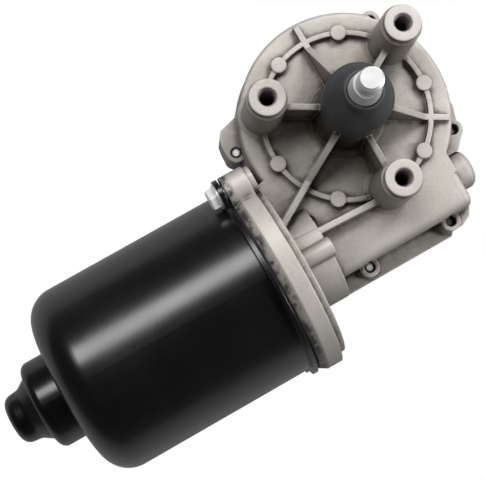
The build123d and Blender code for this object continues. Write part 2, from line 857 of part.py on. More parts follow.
# one continuous right-hand thread, made along Z and then laid on the shaft
with BuildPart() as worm_thread:
    with BuildLine():
        Helix(worm_lead, -2 * worm_start_x, worm_pitch_r)
    with BuildSketch(Plane.XZ):
        thread_root_r = worm_root_r - thread_sink
        half_at_pitch = pi * gear_module / 4 - flank_clearance / 2
        flank_slope = tan(radians(pressure_angle))
        half_at_root = half_at_pitch + (worm_pitch_r - thread_root_r) * flank_slope
        half_at_tip = half_at_pitch - (worm_tip_r - worm_pitch_r) * flank_slope
        with BuildLine():
            Polyline(
                (thread_root_r, -half_at_root),
                (worm_tip_r, -half_at_tip),
                (worm_tip_r, half_at_tip),
                (thread_root_r, half_at_root),
                close=True,
            )
        make_face()
    sweep(is_frenet=True)

with BuildPart() as armature_shaft:
    with BuildSketch(motor_side) as armature_profile:
        with BuildLine():
            Polyline(
                (shaft_rear_x, 0),
                (shaft_rear_x, motor_shaft_r),
                (-worm_neck_x, motor_shaft_r),
                (-worm_neck_x, worm_root_r),
                (worm_neck_x, worm_root_r),
                (worm_neck_x, motor_shaft_r),
                (end_journal_x - end_journal_shoulder - motor_shaft_r + end_journal_r, motor_shaft_r),
                (end_journal_x - end_journal_shoulder, end_journal_r),
                (shaft_front_x, end_journal_r),
                (shaft_front_x, 0),
                close=True,
            )
        make_face()
    revolve(axis=motor_axis)
    add(worm_thread.part.moved(across(worm_start_x).location))

with BuildPart() as armature_core:
    with BuildSketch(across(core_x)):
        Circle(core_r)
        Circle(motor_shaft_r + assembly_clearance / 2, mode=Mode.SUBTRACT)
        with PolarLocations((slot_floor_r + core_r + through_cut) / 2, core_slots):
            Rectangle(core_r + through_cut - slot_floor_r, slot_width, mode=Mode.SUBTRACT)
    extrude(amount=core_length)

winding_top_r = core_r - winding_top_inset
winding_bottom_r = slot_floor_r - winding_bottom_inset
with BuildPart() as armature_windings:
    bar_width = slot_width - 2 * assembly_clearance
    with BuildSketch(across(core_x)):
        with PolarLocations((slot_floor_r + core_r - slot_fill_inset) / 2, core_slots):
            Rectangle(core_r - slot_fill_inset - slot_floor_r - 2 * assembly_clearance, bar_width)
    extrude(amount=core_length)
    for start, away in ((core_x, -1), (core_x + core_length, 1)):
        with BuildSketch(motor_side) as overhang:
            with Locations((start + away * winding_overhang / 2, (winding_top_r + winding_bottom_r) / 2)):
                Rectangle(winding_overhang, winding_top_r - winding_bottom_r)
            fillet(overhang.vertices().sort_by(Axis.X)[:: -away][:2], winding_bend_r)
        revolve(axis=motor_axis)

commutator_x = core_x + core_length + winding_overhang + commutator_gap
commutator_sleeve_r = motor_shaft_r + commutator_sleeve
with BuildPart() as commutator:
    extrude(ring_sketch(across(commutator_x), commutator_r, commutator_sleeve_r), amount=commutator_length)
    riser = ring_sketch(across(commutator_x), commutator_r + riser_height, commutator_sleeve_r)
    extrude(riser, amount=riser_width)
    with BuildSketch(across(commutator_x)):
        with PolarLocations(commutator_r, commutator_bars):
            Rectangle(2 * bar_slot_depth, bar_slot_width)
    extrude(amount=commutator_length, mode=Mode.SUBTRACT)

with BuildPart() as commutator_hub:
    hub_ring = ring_sketch(
        across(commutator_x),
        commutator_sleeve_r - assembly_clearance,
        motor_shaft_r + assembly_clearance / 2,
    )
    extrude(hub_ring, amount=commutator_length + hub_extra)

with BuildPart() as front_bearing_inner:
    inner_race = ring_sketch(across(bearing_x), bearing_inner_r, motor_shaft_r + assembly_clearance / 2)
    extrude(inner_race, amount=-bearing_width)

# ------------------------------------------------------------------ bearings of the armature
with BuildPart() as front_bearing_outer:
    extrude(ring_sketch(across(bearing_x), bearing_r, bearing_inner_r + free_gap), amount=-bearing_width)

with BuildPart() as front_bearing_clip:
    with BuildSketch(across(bearing_x - bearing_width - assembly_clearance)):
        Circle(bearing_r)
        Circle(bearing_r - clip_band, mode=Mode.SUBTRACT)
        with Locations((0, bearing_r)):
            Rectangle(clip_gap, 3 * clip_band, mode=Mode.SUBTRACT)
    extrude(amount=-ring_thickness)

with BuildPart() as worm_end_bush:
    bush_ring = ring_sketch(
        across(end_journal_x),
        nose_bore_r - assembly_clearance,
        end_journal_r + running_clearance,
    )
    extrude(bush_ring, amount=pad_x - assembly_clearance - end_journal_x)

with BuildPart() as thrust_pad:
    with BuildSketch(across(pad_x)):
        Circle(nose_bore_r - assembly_clearance)
    extrude(amount=thrust_pad_thickness)

rear_bush_x = step_one_x + can_wall - rear_bush_inset
with BuildPart() as rear_bush:
    with BuildSketch(motor_side) as rear_bush_profile:
        with BuildLine():
            Polyline(
                (rear_bush_x, motor_shaft_r + running_clearance),
                (rear_bush_x, rear_bush_r - rear_bush_nose),
                (rear_bush_x + rear_bush_nose_length, rear_bush_r),
                (rear_bush_x + rear_bush_length - rear_bush_nose_length, rear_bush_r),
                (rear_bush_x + rear_bush_length, rear_bush_r - rear_bush_nose),
                (rear_bush_x + rear_bush_length, motor_shaft_r + running_clearance),
                close=True,
            )
        make_face()
    revolve(axis=motor_axis)

with BuildPart() as rear_bush_retainer:
    with BuildSketch(across(rear_bush_x + rear_bush_length)):
        Circle(step_one_r - can_wall - assembly_clearance)
        Circle(motor_shaft_r + retainer_bore_gap, mode=Mode.SUBTRACT)
        with PolarLocations(step_one_r - can_wall, retainer_slots):
            Rectangle(2 * retainer_slot_depth, retainer_slot_width, mode=Mode.SUBTRACT)
    extrude(amount=spring_clip_thickness)

with BuildPart() as rear_thrust_ball:
    with BuildSketch(motor_side):
        with Locations((rear_ball_x, 0)):
            Circle(rear_ball_r)
            Rectangle(
                2 * rear_ball_r,
                2 * rear_ball_r,
                align=(Align.CENTER, Align.MAX),
                mode=Mode.SUBTRACT,
            )
    revolve(axis=motor_axis)

# ------------------------------------------------------------------ motor can


def can_profile(inset):
    """Half section of the can on the motor axis, drawn smaller all round by an inset."""
    outline = (
        (mouth_x, can_r - inset),
        (can_end_x + inset, can_r - inset),
        (can_end_x + inset, step_one_r - inset),
        (step_one_x + inset, step_one_r - inset),
        (step_one_x + inset, step_two_base_r - inset),
        (step_one_x + inset - step_two_waist, step_two_waist_r - inset),
        (step_two_x + inset, step_two_r - inset),
        (step_two_x + inset, 0),
    )
    bends = (
        can_corner_r - inset,
        can_crease_r + inset,
        max(step_one_shoulder_r - inset, smallest_bend_r),
        can_crease_r + inset,
        step_two_waist_bend_r + inset,
        step_two_tip_r - inset,
    )
    with BuildSketch(motor_side) as profile:
        with BuildLine():
            FilletPolyline(*outline, radius=bends)
            Polyline(outline[-1], (mouth_x, 0), outline[0])
        make_face()
    return profile.sketch


with BuildPart() as motor_can:
    add(can_profile(0))
    revolve(axis=motor_axis)
    # rolled lip with two screw ears
    with BuildSketch(across(mouth_x)):
        Circle(can_lip_r)
        with PolarLocations(ear_circle_r, 2, start_angle=ear_angle):
            Circle(ear_r)
            with Locations((-ear_r, 0)):
                Rectangle(2 * ear_r, 2 * ear_r)
    extrude(amount=-can_lip)
    revolve(can_profile(can_wall), axis=motor_axis, mode=Mode.SUBTRACT)
    with BuildSketch(across(mouth_x)):
        with PolarLocations(ear_circle_r, 2, start_angle=ear_angle):
            Circle(ear_hole_r)
    extrude(amount=-can_lip, mode=Mode.SUBTRACT)

with BuildPart() as can_gasket:
    can_seal = ring_sketch(across(flange_x), can_gasket_r, can_bore_r + seal_set_back)
    extrude(can_seal, amount=-can_gasket_thickness)

with BuildPart() as flange_screws:
    with BuildSketch(across(mouth_x - can_lip)):
        with PolarLocations(ear_circle_r, 2, start_angle=ear_angle):
            Circle(ear_screw_head_r)
    extrude(amount=-ear_screw_head_h)
    with BuildSketch(across(mouth_x - can_lip)):
        with PolarLocations(ear_circle_r, 2, start_angle=ear_angle):
            Circle(ear_hole_r - assembly_clearance)
    extrude(amount=flange_gear_x - mouth_x + can_lip)

# ------------------------------------------------------------------ field
def wedge(reach, middle, half_angle):
    """Corners of a triangle that fans out from the centre."""
    return [
        (0, 0),
        (reach * cos(radians(middle - half_angle)), reach * sin(radians(middle - half_angle))),
        (reach * cos(radians(middle + half_angle)), reach * sin(radians(middle + half_angle))),
    ]


gap_half_angle = 90 - magnet_arc / 2
with BuildPart() as field_magnets:
    with BuildSketch(across(magnet_x)):
        Circle(magnet_r)
        Circle(magnet_bore_r, mode=Mode.SUBTRACT)
        for middle in (90, 270):
            Polygon(*wedge(3 * magnet_r, middle, gap_half_angle), align=None, mode=Mode.SUBTRACT)
    extrude(amount=magnet_length)

# spring clips that spread the magnets apart, one in each gap
with BuildPart() as magnet_clips:
    with BuildSketch(across(magnet_x + magnet_clip_inset)):
        Circle(magnet_r)
        Circle(magnet_r - spring_clip_thickness, mode=Mode.SUBTRACT)
        for middle in (90, 270):
            Polygon(*wedge(magnet_r, middle, gap_half_angle - magnet_clip_play), align=None, mode=Mode.ADD)
        Circle(magnet_r - spring_clip_thickness, mode=Mode.SUBTRACT)
        for middle in (0, 180):
            magnet_wedge = wedge(9 * magnet_r, middle, 90 - gap_half_angle + magnet_clip_play)
            Polygon(*magnet_wedge, align=None, mode=Mode.SUBTRACT)
    extrude(amount=magnet_length - 2 * magnet_clip_inset)
    for middle in (90, 270):
        for side in (-1, 1):
            edge_angle = middle + side * (gap_half_angle - magnet_clip_leg_angle)
            with BuildSketch(across(magnet_x + magnet_clip_inset)):
                with PolarLocations((magnet_r + magnet_bore_r) / 2, 1, start_angle=edge_angle):
                    Rectangle(magnet_thickness - 2 * magnet_clip_leg_inset, spring_clip_thickness)
            extrude(amount=magnet_length - 2 * magnet_clip_inset)

# ------------------------------------------------------------------ brush gear
brush_plate_x = flange_x + brush_plate_inset
brush_middle_x = brush_plate_x - holder_wall - brush_height / 2
brush_start_r = commutator_r + running_clearance
brush_toe_r = sqrt(brush_start_r**2 - (brush_width / 2) ** 2)
brush_end_r = brush_start_r + brush_length
holder_start_r = commutator_r + holder_set_back
holder_end_r = brush_end_r + spring_space


def spoke_plane(angle, r, x):
    """Plane square to a radius of the motor: its own y is +X and its normal points outwards."""
    outwards = Vector(0, 1, 0).rotate(Axis.X, angle)
    place = Vector(x, axis_y, axis_z) + outwards * r
    return Plane(origin=place, x_dir=outwards.cross(Vector(1, 0, 0)) * -1, z_dir=outwards)


with BuildPart() as brush_plate:
    with BuildSketch(across(brush_plate_x)):
        Circle(cavity_r - assembly_clearance)
        Circle(commutator_r + brush_plate_bore_gap, mode=Mode.SUBTRACT)
    extrude(amount=brush_plate_thickness)

with BuildPart() as brush_holders:
    for angle in brush_angles:
        with BuildSketch(spoke_plane(angle, holder_start_r, brush_middle_x)):
            Rectangle(
                brush_width + 2 * (holder_wall + assembly_clearance),
                brush_height + 2 * holder_wall,
            )
            Rectangle(
                brush_width + 2 * assembly_clearance,
                brush_height + 2 * assembly_clearance,
                mode=Mode.SUBTRACT,
            )
        extrude(amount=holder_end_r - holder_start_r)
        with BuildSketch(spoke_plane(angle, holder_end_r, brush_middle_x)):
            Rectangle(
                brush_width + 2 * (holder_wall + assembly_clearance),
                brush_height + 2 * holder_wall,
            )
        extrude(amount=holder_wall)

with BuildPart() as brushes:
    for angle in brush_angles:
        with BuildSketch(spoke_plane(angle, brush_toe_r, brush_middle_x)):
            Rectangle(brush_width, brush_height)
        extrude(amount=brush_end_r - brush_toe_r)
    with BuildSketch(across(commutator_x)):
        Circle(brush_start_r)
    extrude(amount=commutator_length, mode=Mode.SUBTRACT)

with BuildPart() as brush_springs:
    for angle in brush_angles:
        with BuildSketch(spoke_plane(angle, brush_end_r, brush_middle_x)):
            Circle(brush_width / 2 - spring_room)
            Circle(brush_width / 2 - spring_room - spring_wall, mode=Mode.SUBTRACT)
        extrude(amount=holder_end_r - brush_end_r)

with BuildPart() as choke_coils:
    for angle in choke_angles:
        choke_plane = spoke_plane(angle, choke_circle_r, brush_plate_x - choke_r)
        side_plane = Plane(
            origin=choke_plane.origin - choke_plane.x_dir * choke_length / 2,
            x_dir=choke_plane.z_dir,
            z_dir=choke_plane.x_dir,
        )
        with BuildSketch(side_plane):
            Circle(choke_r)
        extrude(amount=choke_length)

with BuildPart() as thermal_breaker:
    breaker_x = brush_plate_x - breaker_size[1] / 2
    with BuildSketch(spoke_plane(breaker_angle, breaker_circle_r, breaker_x)):
        Rectangle(breaker_size[0], breaker_size[1])
    extrude(amount=breaker_size[2])

# ------------------------------------------------------------------ cover and its fastening
with BuildSketch() as cover_outline:
    add(housing_outline)
    with Locations((-neck_end_x + assembly_clearance, axis_y)):
        Rectangle(
            bowl_r,
            2 * neck_r + cover_neck_room,
            align=(Align.MAX, Align.CENTER),
            mode=Mode.SUBTRACT,
        )

with BuildPart() as cover_gasket:
    with BuildSketch(level(parting_z)):
        add(cover_outline.sketch)
        Circle(bowl_bore_r, mode=Mode.SUBTRACT)
        with Locations(((trough_x + trough_far_x) / 2, axis_y)):
            Rectangle(trough_far_x - trough_x, 2 * trough_r, mode=Mode.SUBTRACT)
        with Locations(*lug_places):
            Circle(lug_hole_r, mode=Mode.SUBTRACT)
    extrude(amount=-gasket_thickness)

cover_rim_r = bowl_bore_r - cover_rim_gap
socket_top_z = cover_bottom_z
socket_middle_z = socket_top_z - socket_height / 2
socket_back_plane = Plane(origin=(0, socket_y, socket_middle_z), x_dir=(-1, 0, 0), z_dir=(0, 1, 0))
terminal_pitch = (socket_width - 2 * socket_wall) / terminal_count
with BuildPart() as gear_cover:
    with BuildSketch(level(cover_top_z)):
        add(cover_outline.sketch)
        with Locations(*lug_places):
            Circle(screw_shank_r + screw_room, mode=Mode.SUBTRACT)
    extrude(amount=-cover_thickness)
    # locating rim inside the bowl
    cover_rim = ring_sketch(level(cover_top_z), cover_rim_r, cover_rim_r - cover_rim_wall)
    extrude(cover_rim, amount=cover_rim_height)
    # bearing button under the output shaft, and stiffening ribs outside
    with BuildSketch(level(cover_top_z)):
        Circle(shaft_r)
    extrude(amount=shaft_bottom_gap - free_gap)
    with BuildSketch(level(cover_bottom_z)):
        Circle(cover_rib_ring_r + cover_rib_width / 2)
        Circle(cover_rib_ring_r - cover_rib_width / 2, mode=Mode.SUBTRACT)
        Circle(shaft_r + cover_button_extra)
        with PolarLocations((shaft_r + cover_rib_ring_r) / 2, cover_rib_count, start_angle=22.5):
            Rectangle(cover_rib_ring_r - shaft_r, cover_rib_width)
    extrude(amount=-cover_rib_height)
    # shrouded socket, opening towards +Y
    with BuildSketch(socket_back_plane):
        RectangleRounded(socket_width, socket_height, socket_corner_r)
        with Locations((0, socket_height / 4)):
            Rectangle(socket_width, socket_height / 2)
    extrude(amount=socket_length)
    with BuildSketch(socket_back_plane.offset(socket_back)):
        RectangleRounded(
            socket_width - 2 * socket_wall,
            socket_height - 2 * socket_wall,
            socket_bore_corner_r,
        )
    extrude(amount=socket_length, mode=Mode.SUBTRACT)
    with BuildSketch(socket_back_plane):
        for number in range(terminal_count):
            with Locations(((number - (terminal_count - 1) / 2) * terminal_pitch, 0)):
                Rectangle(
                    terminal_width + 2 * assembly_clearance,
                    terminal_thickness + 2 * assembly_clearance,
                )
    extrude(amount=socket_back, mode=Mode.SUBTRACT)

with BuildPart() as connector_terminals:
    with BuildSketch(socket_back_plane):
        for number in range(terminal_count):
            with Locations(((number - (terminal_count - 1) / 2) * terminal_pitch, 0)):
                Rectangle(terminal_width, terminal_thickness)
    extrude(amount=socket_length - terminal_set_back)

with BuildPart() as cover_screws:
    for place, top_depth in zip(lug_places, lug_top_depths):
        with BuildSketch(level(cover_bottom_z)):
            with Locations(place):
                Circle(screw_head_r)
        extrude(amount=-screw_head_h)
        with BuildSketch(level(cover_bottom_z)):
            with Locations(place):
                Circle(screw_shank_r)
        extrude(amount=screw_length)
    chamfer(cover_screws.edges().group_by(Axis.Z)[-1], screw_tip_chamfer)

# spring contacts that wipe the park disc
contact_root_x = cover_rim_r - cover_rim_wall - contact_rim_gap
with BuildPart() as park_contacts:
    for number, radius in enumerate(contact_radii):
        lane_y = (number - 1) * (contact_width + contact_lane_gap)
        tip_x = -sqrt(radius**2 - lane_y**2)
        tip_z = wheel_bottom_z - park_disc_thickness - free_gap
        with BuildSketch(Plane(origin=(0, lane_y, 0), x_dir=(1, 0, 0), z_dir=(0, -1, 0))):
            with BuildLine() as strip:
                Polyline(
                    (-contact_root_x, cover_top_z + contact_thickness / 2),
                    (-contact_root_x + contact_foot, cover_top_z + contact_thickness / 2),
                    (tip_x, tip_z - contact_thickness / 2),
                    (tip_x + contact_heel[0], tip_z - contact_thickness / 2 - contact_heel[1]),
                )
            trace(line_width=contact_thickness)
        extrude(amount=contact_width / 2, both=True)

# ------------------------------------------------------------------ write the pieces
os.makedirs("parts", exist_ok=True)
pieces = {
    "gear_housing": gear_housing,
    "gear_cover": gear_cover,
    "cover_gasket": cover_gasket,
    "cover_screws": cover_screws,
    "connector_terminals": connector_terminals,
    "park_contacts": park_contacts,
    "motor_can": motor_can,
    "can_gasket": can_gasket,
    "flange_screws": flange_screws,
    "field_magnets": field_magnets,
    "magnet_clips": magnet_clips,
    "brush_plate": brush_plate,
    "brush_holders": brush_holders,
    "brushes": brushes,
    "brush_springs": brush_springs,
    "choke_coils": choke_coils,
    "thermal_breaker": thermal_breaker,
    "rear_bush": rear_bush,
    "rear_bush_retainer": rear_bush_retainer,
    "rear_thrust_ball": rear_thrust_ball,
    "front_bearing_outer": front_bearing_outer,
    "front_bearing_inner": front_bearing_inner,
    "front_bearing_clip": front_bearing_clip,
    "worm_end_bush": worm_end_bush,
    "thrust_pad": thrust_pad,
    "armature_shaft": armature_shaft,
    "armature_core": armature_core,
    "armature_windings": armature_windings,
    "commutator": commutator,
    "commutator_hub": commutator_hub,
    "output_shaft": output_shaft,
    "output_bush_upper": output_bush_upper,
    "output_bush_lower": output_bush_lower,
    "shaft_oring": shaft_oring,
    "shaft_washer": shaft_washer,
    "shaft_retaining_ring": shaft_retaining_ring,
    "shaft_boot": shaft_boot,
    "gear_wheel": gear_wheel,
    "wheel_insert": wheel_insert,
    "thrust_washer": thrust_washer,
    "park_disc": park_disc,
}
for piece_name, piece in pieces.items():
    piece.part.label = piece_name
    export_step(piece.part, f"parts/{piece_name}.step")
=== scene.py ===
# %% [markdown]
# # A geared wiper motor
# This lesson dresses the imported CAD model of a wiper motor: a black motor can, a die-cast
# gearbox with three mounting bosses, a rubber boot and a threaded output shaft.
# The CAD solids come in as a fixed frame. Blender adds the finishes, the threads and the
# small hardware, then a camera and lights. Lengths are in metres, as in the frame.

# %% Load the frame
import json
import bmesh
import bpy
from math import cos, pi, radians, sin
from mathutils import Matrix, Vector


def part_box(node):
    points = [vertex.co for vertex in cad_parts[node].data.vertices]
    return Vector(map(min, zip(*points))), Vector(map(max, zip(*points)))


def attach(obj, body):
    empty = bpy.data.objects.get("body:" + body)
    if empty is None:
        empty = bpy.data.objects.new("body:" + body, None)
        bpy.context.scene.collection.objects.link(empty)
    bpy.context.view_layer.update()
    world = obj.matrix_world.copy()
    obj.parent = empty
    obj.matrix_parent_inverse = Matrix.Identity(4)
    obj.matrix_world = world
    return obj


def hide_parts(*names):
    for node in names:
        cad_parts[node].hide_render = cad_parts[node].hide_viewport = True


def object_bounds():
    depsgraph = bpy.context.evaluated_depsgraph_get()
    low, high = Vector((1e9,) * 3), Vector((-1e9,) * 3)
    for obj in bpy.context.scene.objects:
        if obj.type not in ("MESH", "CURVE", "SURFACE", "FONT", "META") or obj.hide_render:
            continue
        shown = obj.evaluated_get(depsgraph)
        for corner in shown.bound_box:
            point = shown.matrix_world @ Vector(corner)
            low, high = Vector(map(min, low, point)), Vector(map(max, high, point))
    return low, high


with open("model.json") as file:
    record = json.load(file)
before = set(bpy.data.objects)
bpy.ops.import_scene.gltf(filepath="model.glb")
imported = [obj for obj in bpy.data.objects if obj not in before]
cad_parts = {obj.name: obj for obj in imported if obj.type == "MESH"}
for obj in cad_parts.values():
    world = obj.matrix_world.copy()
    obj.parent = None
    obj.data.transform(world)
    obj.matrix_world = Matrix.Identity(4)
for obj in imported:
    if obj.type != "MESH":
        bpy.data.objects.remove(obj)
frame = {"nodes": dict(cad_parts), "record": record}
cad_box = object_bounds()
MM = 0.001
scene = bpy.context.scene
print("nodes in the frame:", len(frame["nodes"]))

# %% [markdown]
# ## Places that several pieces share
# The output shaft stands on the origin and points up. The motor axis runs along X, below
# and beside it. Both are written once here, in millimetres, and reused by every piece.

# %% Shared places
MOTOR_Y, MOTOR_Z = -35.0, -41.0
BOSS_CIRCLE = 29.0
BOSS_ANGLES = (30.0, 150.0, 270.0)
GEARBOX, OUTPUT = "gearbox_and_can", "output"
print("motor axis at Y", MOTOR_Y, "and Z", MOTOR_Z)

# %% [markdown]
# ## Camera
# The camera looks down on the boss faces from nearly straight above, turned thirty
# degrees, with a fairly long lens. The turn is on the camera, so the model stays square
# to its own frame.

# %% Camera
SENSOR_WIDTH, FOCAL_PIXELS, PICTURE_PIXELS = 36.0, 1150, 485
camera_data = bpy.data.cameras.new("camera")
camera_data.sensor_width = SENSOR_WIDTH
camera_data.lens = SENSOR_WIDTH * FOCAL_PIXELS / PICTURE_PIXELS
camera_data.clip_start = 0.01
camera = bpy.data.objects.new("camera", camera_data)
camera.location = (-0.0844751, -0.0420342, 0.3585631)
camera.rotation_euler = (radians(5.2712), radians(-2.5210), radians(-29.5989))
scene.collection.objects.link(camera)
scene.camera = camera
print("lens", round(camera_data.lens, 1), "mm")

# %% [markdown]
# ## Light
# Four softboxes light the object. A long strip draws the highlight along the can, two
# lamps on the gearbox side throw the webs' shadows into the pockets, and a weak one fills
# from behind the can. The last one isn't mirrored, so the paint shows one clean highlight.
# The world adds an even fill. The camera sees it as plain white, while paint and metal
# mirror only a dim sky that is palest at the horizon, which keeps the black can black.

# %% World
FILL_STRENGTH = 0.18
SKY_LOW, SKY_HIGH = 0.05, 0.75
SKY_AT_LOW, SKY_AT_HIGH = 0.08, 0.015
scene.view_settings.view_transform = "Standard"
world = bpy.data.worlds.new("studio")
scene.world = world
world.use_nodes = True
WHITE = (1.0, 1.0, 1.0, 1.0)


def seen_directly(tree, path, mirrored):
    """One for camera rays, a set share for glossy and transmission rays, else nothing."""
    either = tree.nodes.new("ShaderNodeMath")
    either.operation = "MAXIMUM"
    tree.links.new(path.outputs["Is Glossy Ray"], either.inputs[0])
    tree.links.new(path.outputs["Is Transmission Ray"], either.inputs[1])
    share = tree.nodes.new("ShaderNodeMath")
    share.operation = "MULTIPLY"
    share.inputs[1].default_value = mirrored
    tree.links.new(either.outputs[0], share.inputs[0])
    seen = tree.nodes.new("ShaderNodeMath")
    seen.operation = "MAXIMUM"
    tree.links.new(path.outputs["Is Camera Ray"], seen.inputs[0])
    tree.links.new(share.outputs[0], seen.inputs[1])
    return seen.outputs[0]


tree = world.node_tree
path = tree.nodes.new("ShaderNodeLightPath")
fill = tree.nodes["Background"]
fill.inputs["Color"].default_value = (0.96, 0.97, 1.0, 1.0)
fill.inputs["Strength"].default_value = FILL_STRENGTH
backdrop = tree.nodes.new("ShaderNodeBackground")
backdrop.inputs["Color"].default_value = WHITE
sky = tree.nodes.new("ShaderNodeTexCoord")
height = tree.nodes.new("ShaderNodeSeparateXYZ")
tree.links.new(sky.outputs["Generated"], height.inputs[0])
overhead = tree.nodes.new("ShaderNodeMapRange")
overhead.inputs["From Min"].default_value = SKY_LOW
overhead.inputs["From Max"].default_value = SKY_HIGH
overhead.inputs["To Min"].default_value = SKY_AT_LOW
overhead.inputs["To Max"].default_value = SKY_AT_HIGH
tree.links.new(height.outputs["Z"], overhead.inputs["Value"])
lit = tree.nodes.new("ShaderNodeMath")
lit.operation = "MAXIMUM"
tree.links.new(overhead.outputs[0], lit.inputs[0])
tree.links.new(path.outputs["Is Camera Ray"], lit.inputs[1])
tree.links.new(lit.outputs[0], backdrop.inputs["Strength"])
choose = tree.nodes.new("ShaderNodeMixShader")
tree.links.new(seen_directly(tree, path, 1.0), choose.inputs[0])
tree.links.new(fill.outputs[0], choose.inputs[1])
tree.links.new(backdrop.outputs[0], choose.inputs[2])
tree.links.new(choose.outputs[0], tree.nodes["World Output"].inputs[0])
print("world fill", FILL_STRENGTH)

# %% Softboxes


def softbox(name, place, target, size, power):
    """Area light at a place, facing a target; all in millimetres and watts."""
    data = bpy.data.lights.new(name, "AREA")
    data.shape = "RECTANGLE"
    data.size, data.size_y = size[0] * MM, size[1] * MM
    data.energy = power
    lamp = bpy.data.objects.new(name, data)
    lamp.location = Vector(place) * MM
    aim = (Vector(target) - Vector(place)).normalized()
    lamp.rotation_euler = aim.to_track_quat("-Z", "X").to_euler()
    scene.collection.objects.link(lamp)
    return lamp


softbox("strip", (-70, 330, 600), (-40, -20, -20), (230, 400), 2.3)
softbox("key", (390, 230, 400), (0, 0, -30), (220, 220), 1.9)
softbox("low", (420, -330, 360), (0, 0, -30), (220, 220), 2.0)
softbox("back", (-330, 300, 330), (-40, -10, -30), (240, 240), 0.45).visible_glossy = False

# %% [markdown]
# The floor is white paper just under the object. The camera sees it as almost all glow, so
# it ends up white but still takes a hint of the object's shadow. From below it is clear.

# %% Floor
FLOOR_REACH, FLOOR_GAP = 3.0, 0.0002
FLOOR_GLOW, GLOW_SHARE, GLOW_MIRRORED = 1.02, 0.97, 0.15
floor_mesh = bpy.data.meshes.new("floor")
low = cad_box[0][2] - FLOOR_GAP
corners = [(-1, -1), (1, -1), (1, 1), (-1, 1)]
floor_mesh.from_pydata(
    [(x * FLOOR_REACH, y * FLOOR_REACH, low) for x, y in corners], [], [(0, 1, 2, 3)]
)
floor = bpy.data.objects.new("floor", floor_mesh)
scene.collection.objects.link(floor)
paper = bpy.data.materials.new("floor_paper")
paper.use_nodes = True
tree = paper.node_tree
tree.nodes["Principled BSDF"].inputs["Base Color"].default_value = (0.35, 0.35, 0.35, 1)
tree.nodes["Principled BSDF"].inputs["Roughness"].default_value = 0.9
glow = tree.nodes.new("ShaderNodeEmission")
glow.inputs["Color"].default_value = WHITE
glow.inputs["Strength"].default_value = FLOOR_GLOW
ease = tree.nodes.new("ShaderNodeMath")
ease.operation = "MULTIPLY"
ease.inputs[1].default_value = GLOW_SHARE
path = tree.nodes.new("ShaderNodeLightPath")
choose = tree.nodes.new("ShaderNodeMixShader")
tree.links.new(seen_directly(tree, path, GLOW_MIRRORED), ease.inputs[0])
tree.links.new(ease.outputs[0], choose.inputs[0])
tree.links.new(tree.nodes["Principled BSDF"].outputs[0], choose.inputs[1])
tree.links.new(glow.outputs[0], choose.inputs[2])
from_below = tree.nodes.new("ShaderNodeMixShader")
tree.links.new(tree.nodes.new("ShaderNodeNewGeometry").outputs["Backfacing"], from_below.inputs[0])
tree.links.new(choose.outputs[0], from_below.inputs[1])
tree.links.new(tree.nodes.new("ShaderNodeBsdfTransparent").outputs[0], from_below.inputs[2])
tree.links.new(from_below.outputs[0], tree.nodes["Material Output"].inputs[0])
floor_mesh.materials.append(paper)
print("floor at", round(low / MM, 2), "mm")

# %% [markdown]
# ## Shared shader effects
# Several finishes need the same small effects: soft edges, a fine grain, grime and painted
# shade in the corners, painted shade on upright walls, a smear along a joint and a painted
# shadow around the shaft. Each is a node group with named sockets, so a material only sets
# its own numbers. The groups read Object coordinates, which are real metres here.

# %% Group helper


def shader_group(name, inputs, outputs):
    """Empty shader group with its sockets; returns the tree and its two end nodes."""
    group = bpy.data.node_groups.new(name, "ShaderNodeTree")
    for label, kind, value in inputs:
        socket = group.interface.new_socket(label, in_out="INPUT", socket_type=kind)
        socket.default_value = value
    for label, kind in outputs:
        group.interface.new_socket(label, in_out="OUTPUT", socket_type=kind)
    return group, group.nodes.new("NodeGroupInput"), group.nodes.new("NodeGroupOutput")


FLOAT, VECTOR = "NodeSocketFloat", "NodeSocketVector"


def math_node(tree, operation, a, b=None, clamp=False):
    """One Math node; a and b are sockets or numbers."""
    node = tree.nodes.new("ShaderNodeMath")
    node.operation = operation
    node.use_clamp = clamp
    for slot, value in enumerate((a, b)):
        if isinstance(value, (int, float)):
            node.inputs[slot].default_value = value
        elif value is not None:
            tree.links.new(value, node.inputs[slot])
    return node.outputs[0]


def noise_node(tree, scale, detail=3.0, roughness=0.55):
    """Noise on Object coordinates; scale is a number or a socket."""
    place = tree.nodes.new("ShaderNodeTexCoord").outputs["Object"]
    noise = tree.nodes.new("ShaderNodeTexNoise")
    noise.inputs["Detail"].default_value = detail
    noise.inputs["Roughness"].default_value = roughness
    tree.links.new(place, noise.inputs["Vector"])
    if isinstance(scale, (int, float)):
        noise.inputs["Scale"].default_value = scale
    else:
        tree.links.new(scale, noise.inputs["Scale"])
    return noise.outputs["Fac"]


def ramp_node(tree, factor, low, high):
    """Map Range from low..high to 0..1, clamped."""
    node = tree.nodes.new("ShaderNodeMapRange")
    node.inputs["From Min"].default_value = low
    node.inputs["From Max"].default_value = high
    tree.links.new(factor, node.inputs["Value"])
    return node.outputs[0]


def mix_colour(tree, factor, a, b):
    """Mix of two colours, each a socket or a tuple."""
    node = tree.nodes.new("ShaderNodeMix")
    node.data_type = "RGBA"
    sockets = [s for s in node.inputs if s.type == "RGBA"]
    factor_socket = [s for s in node.inputs if s.type == "VALUE"][0]
    if isinstance(factor, (int, float)):
        factor_socket.default_value = factor
    else:
        tree.links.new(factor, factor_socket)
    for socket, value in zip(sockets, (a, b)):
        if isinstance(value, tuple):
            socket.default_value = value
        else:
            tree.links.new(value, socket)
    return [s for s in node.outputs if s.type == "RGBA"][0]


print("group helpers ready")

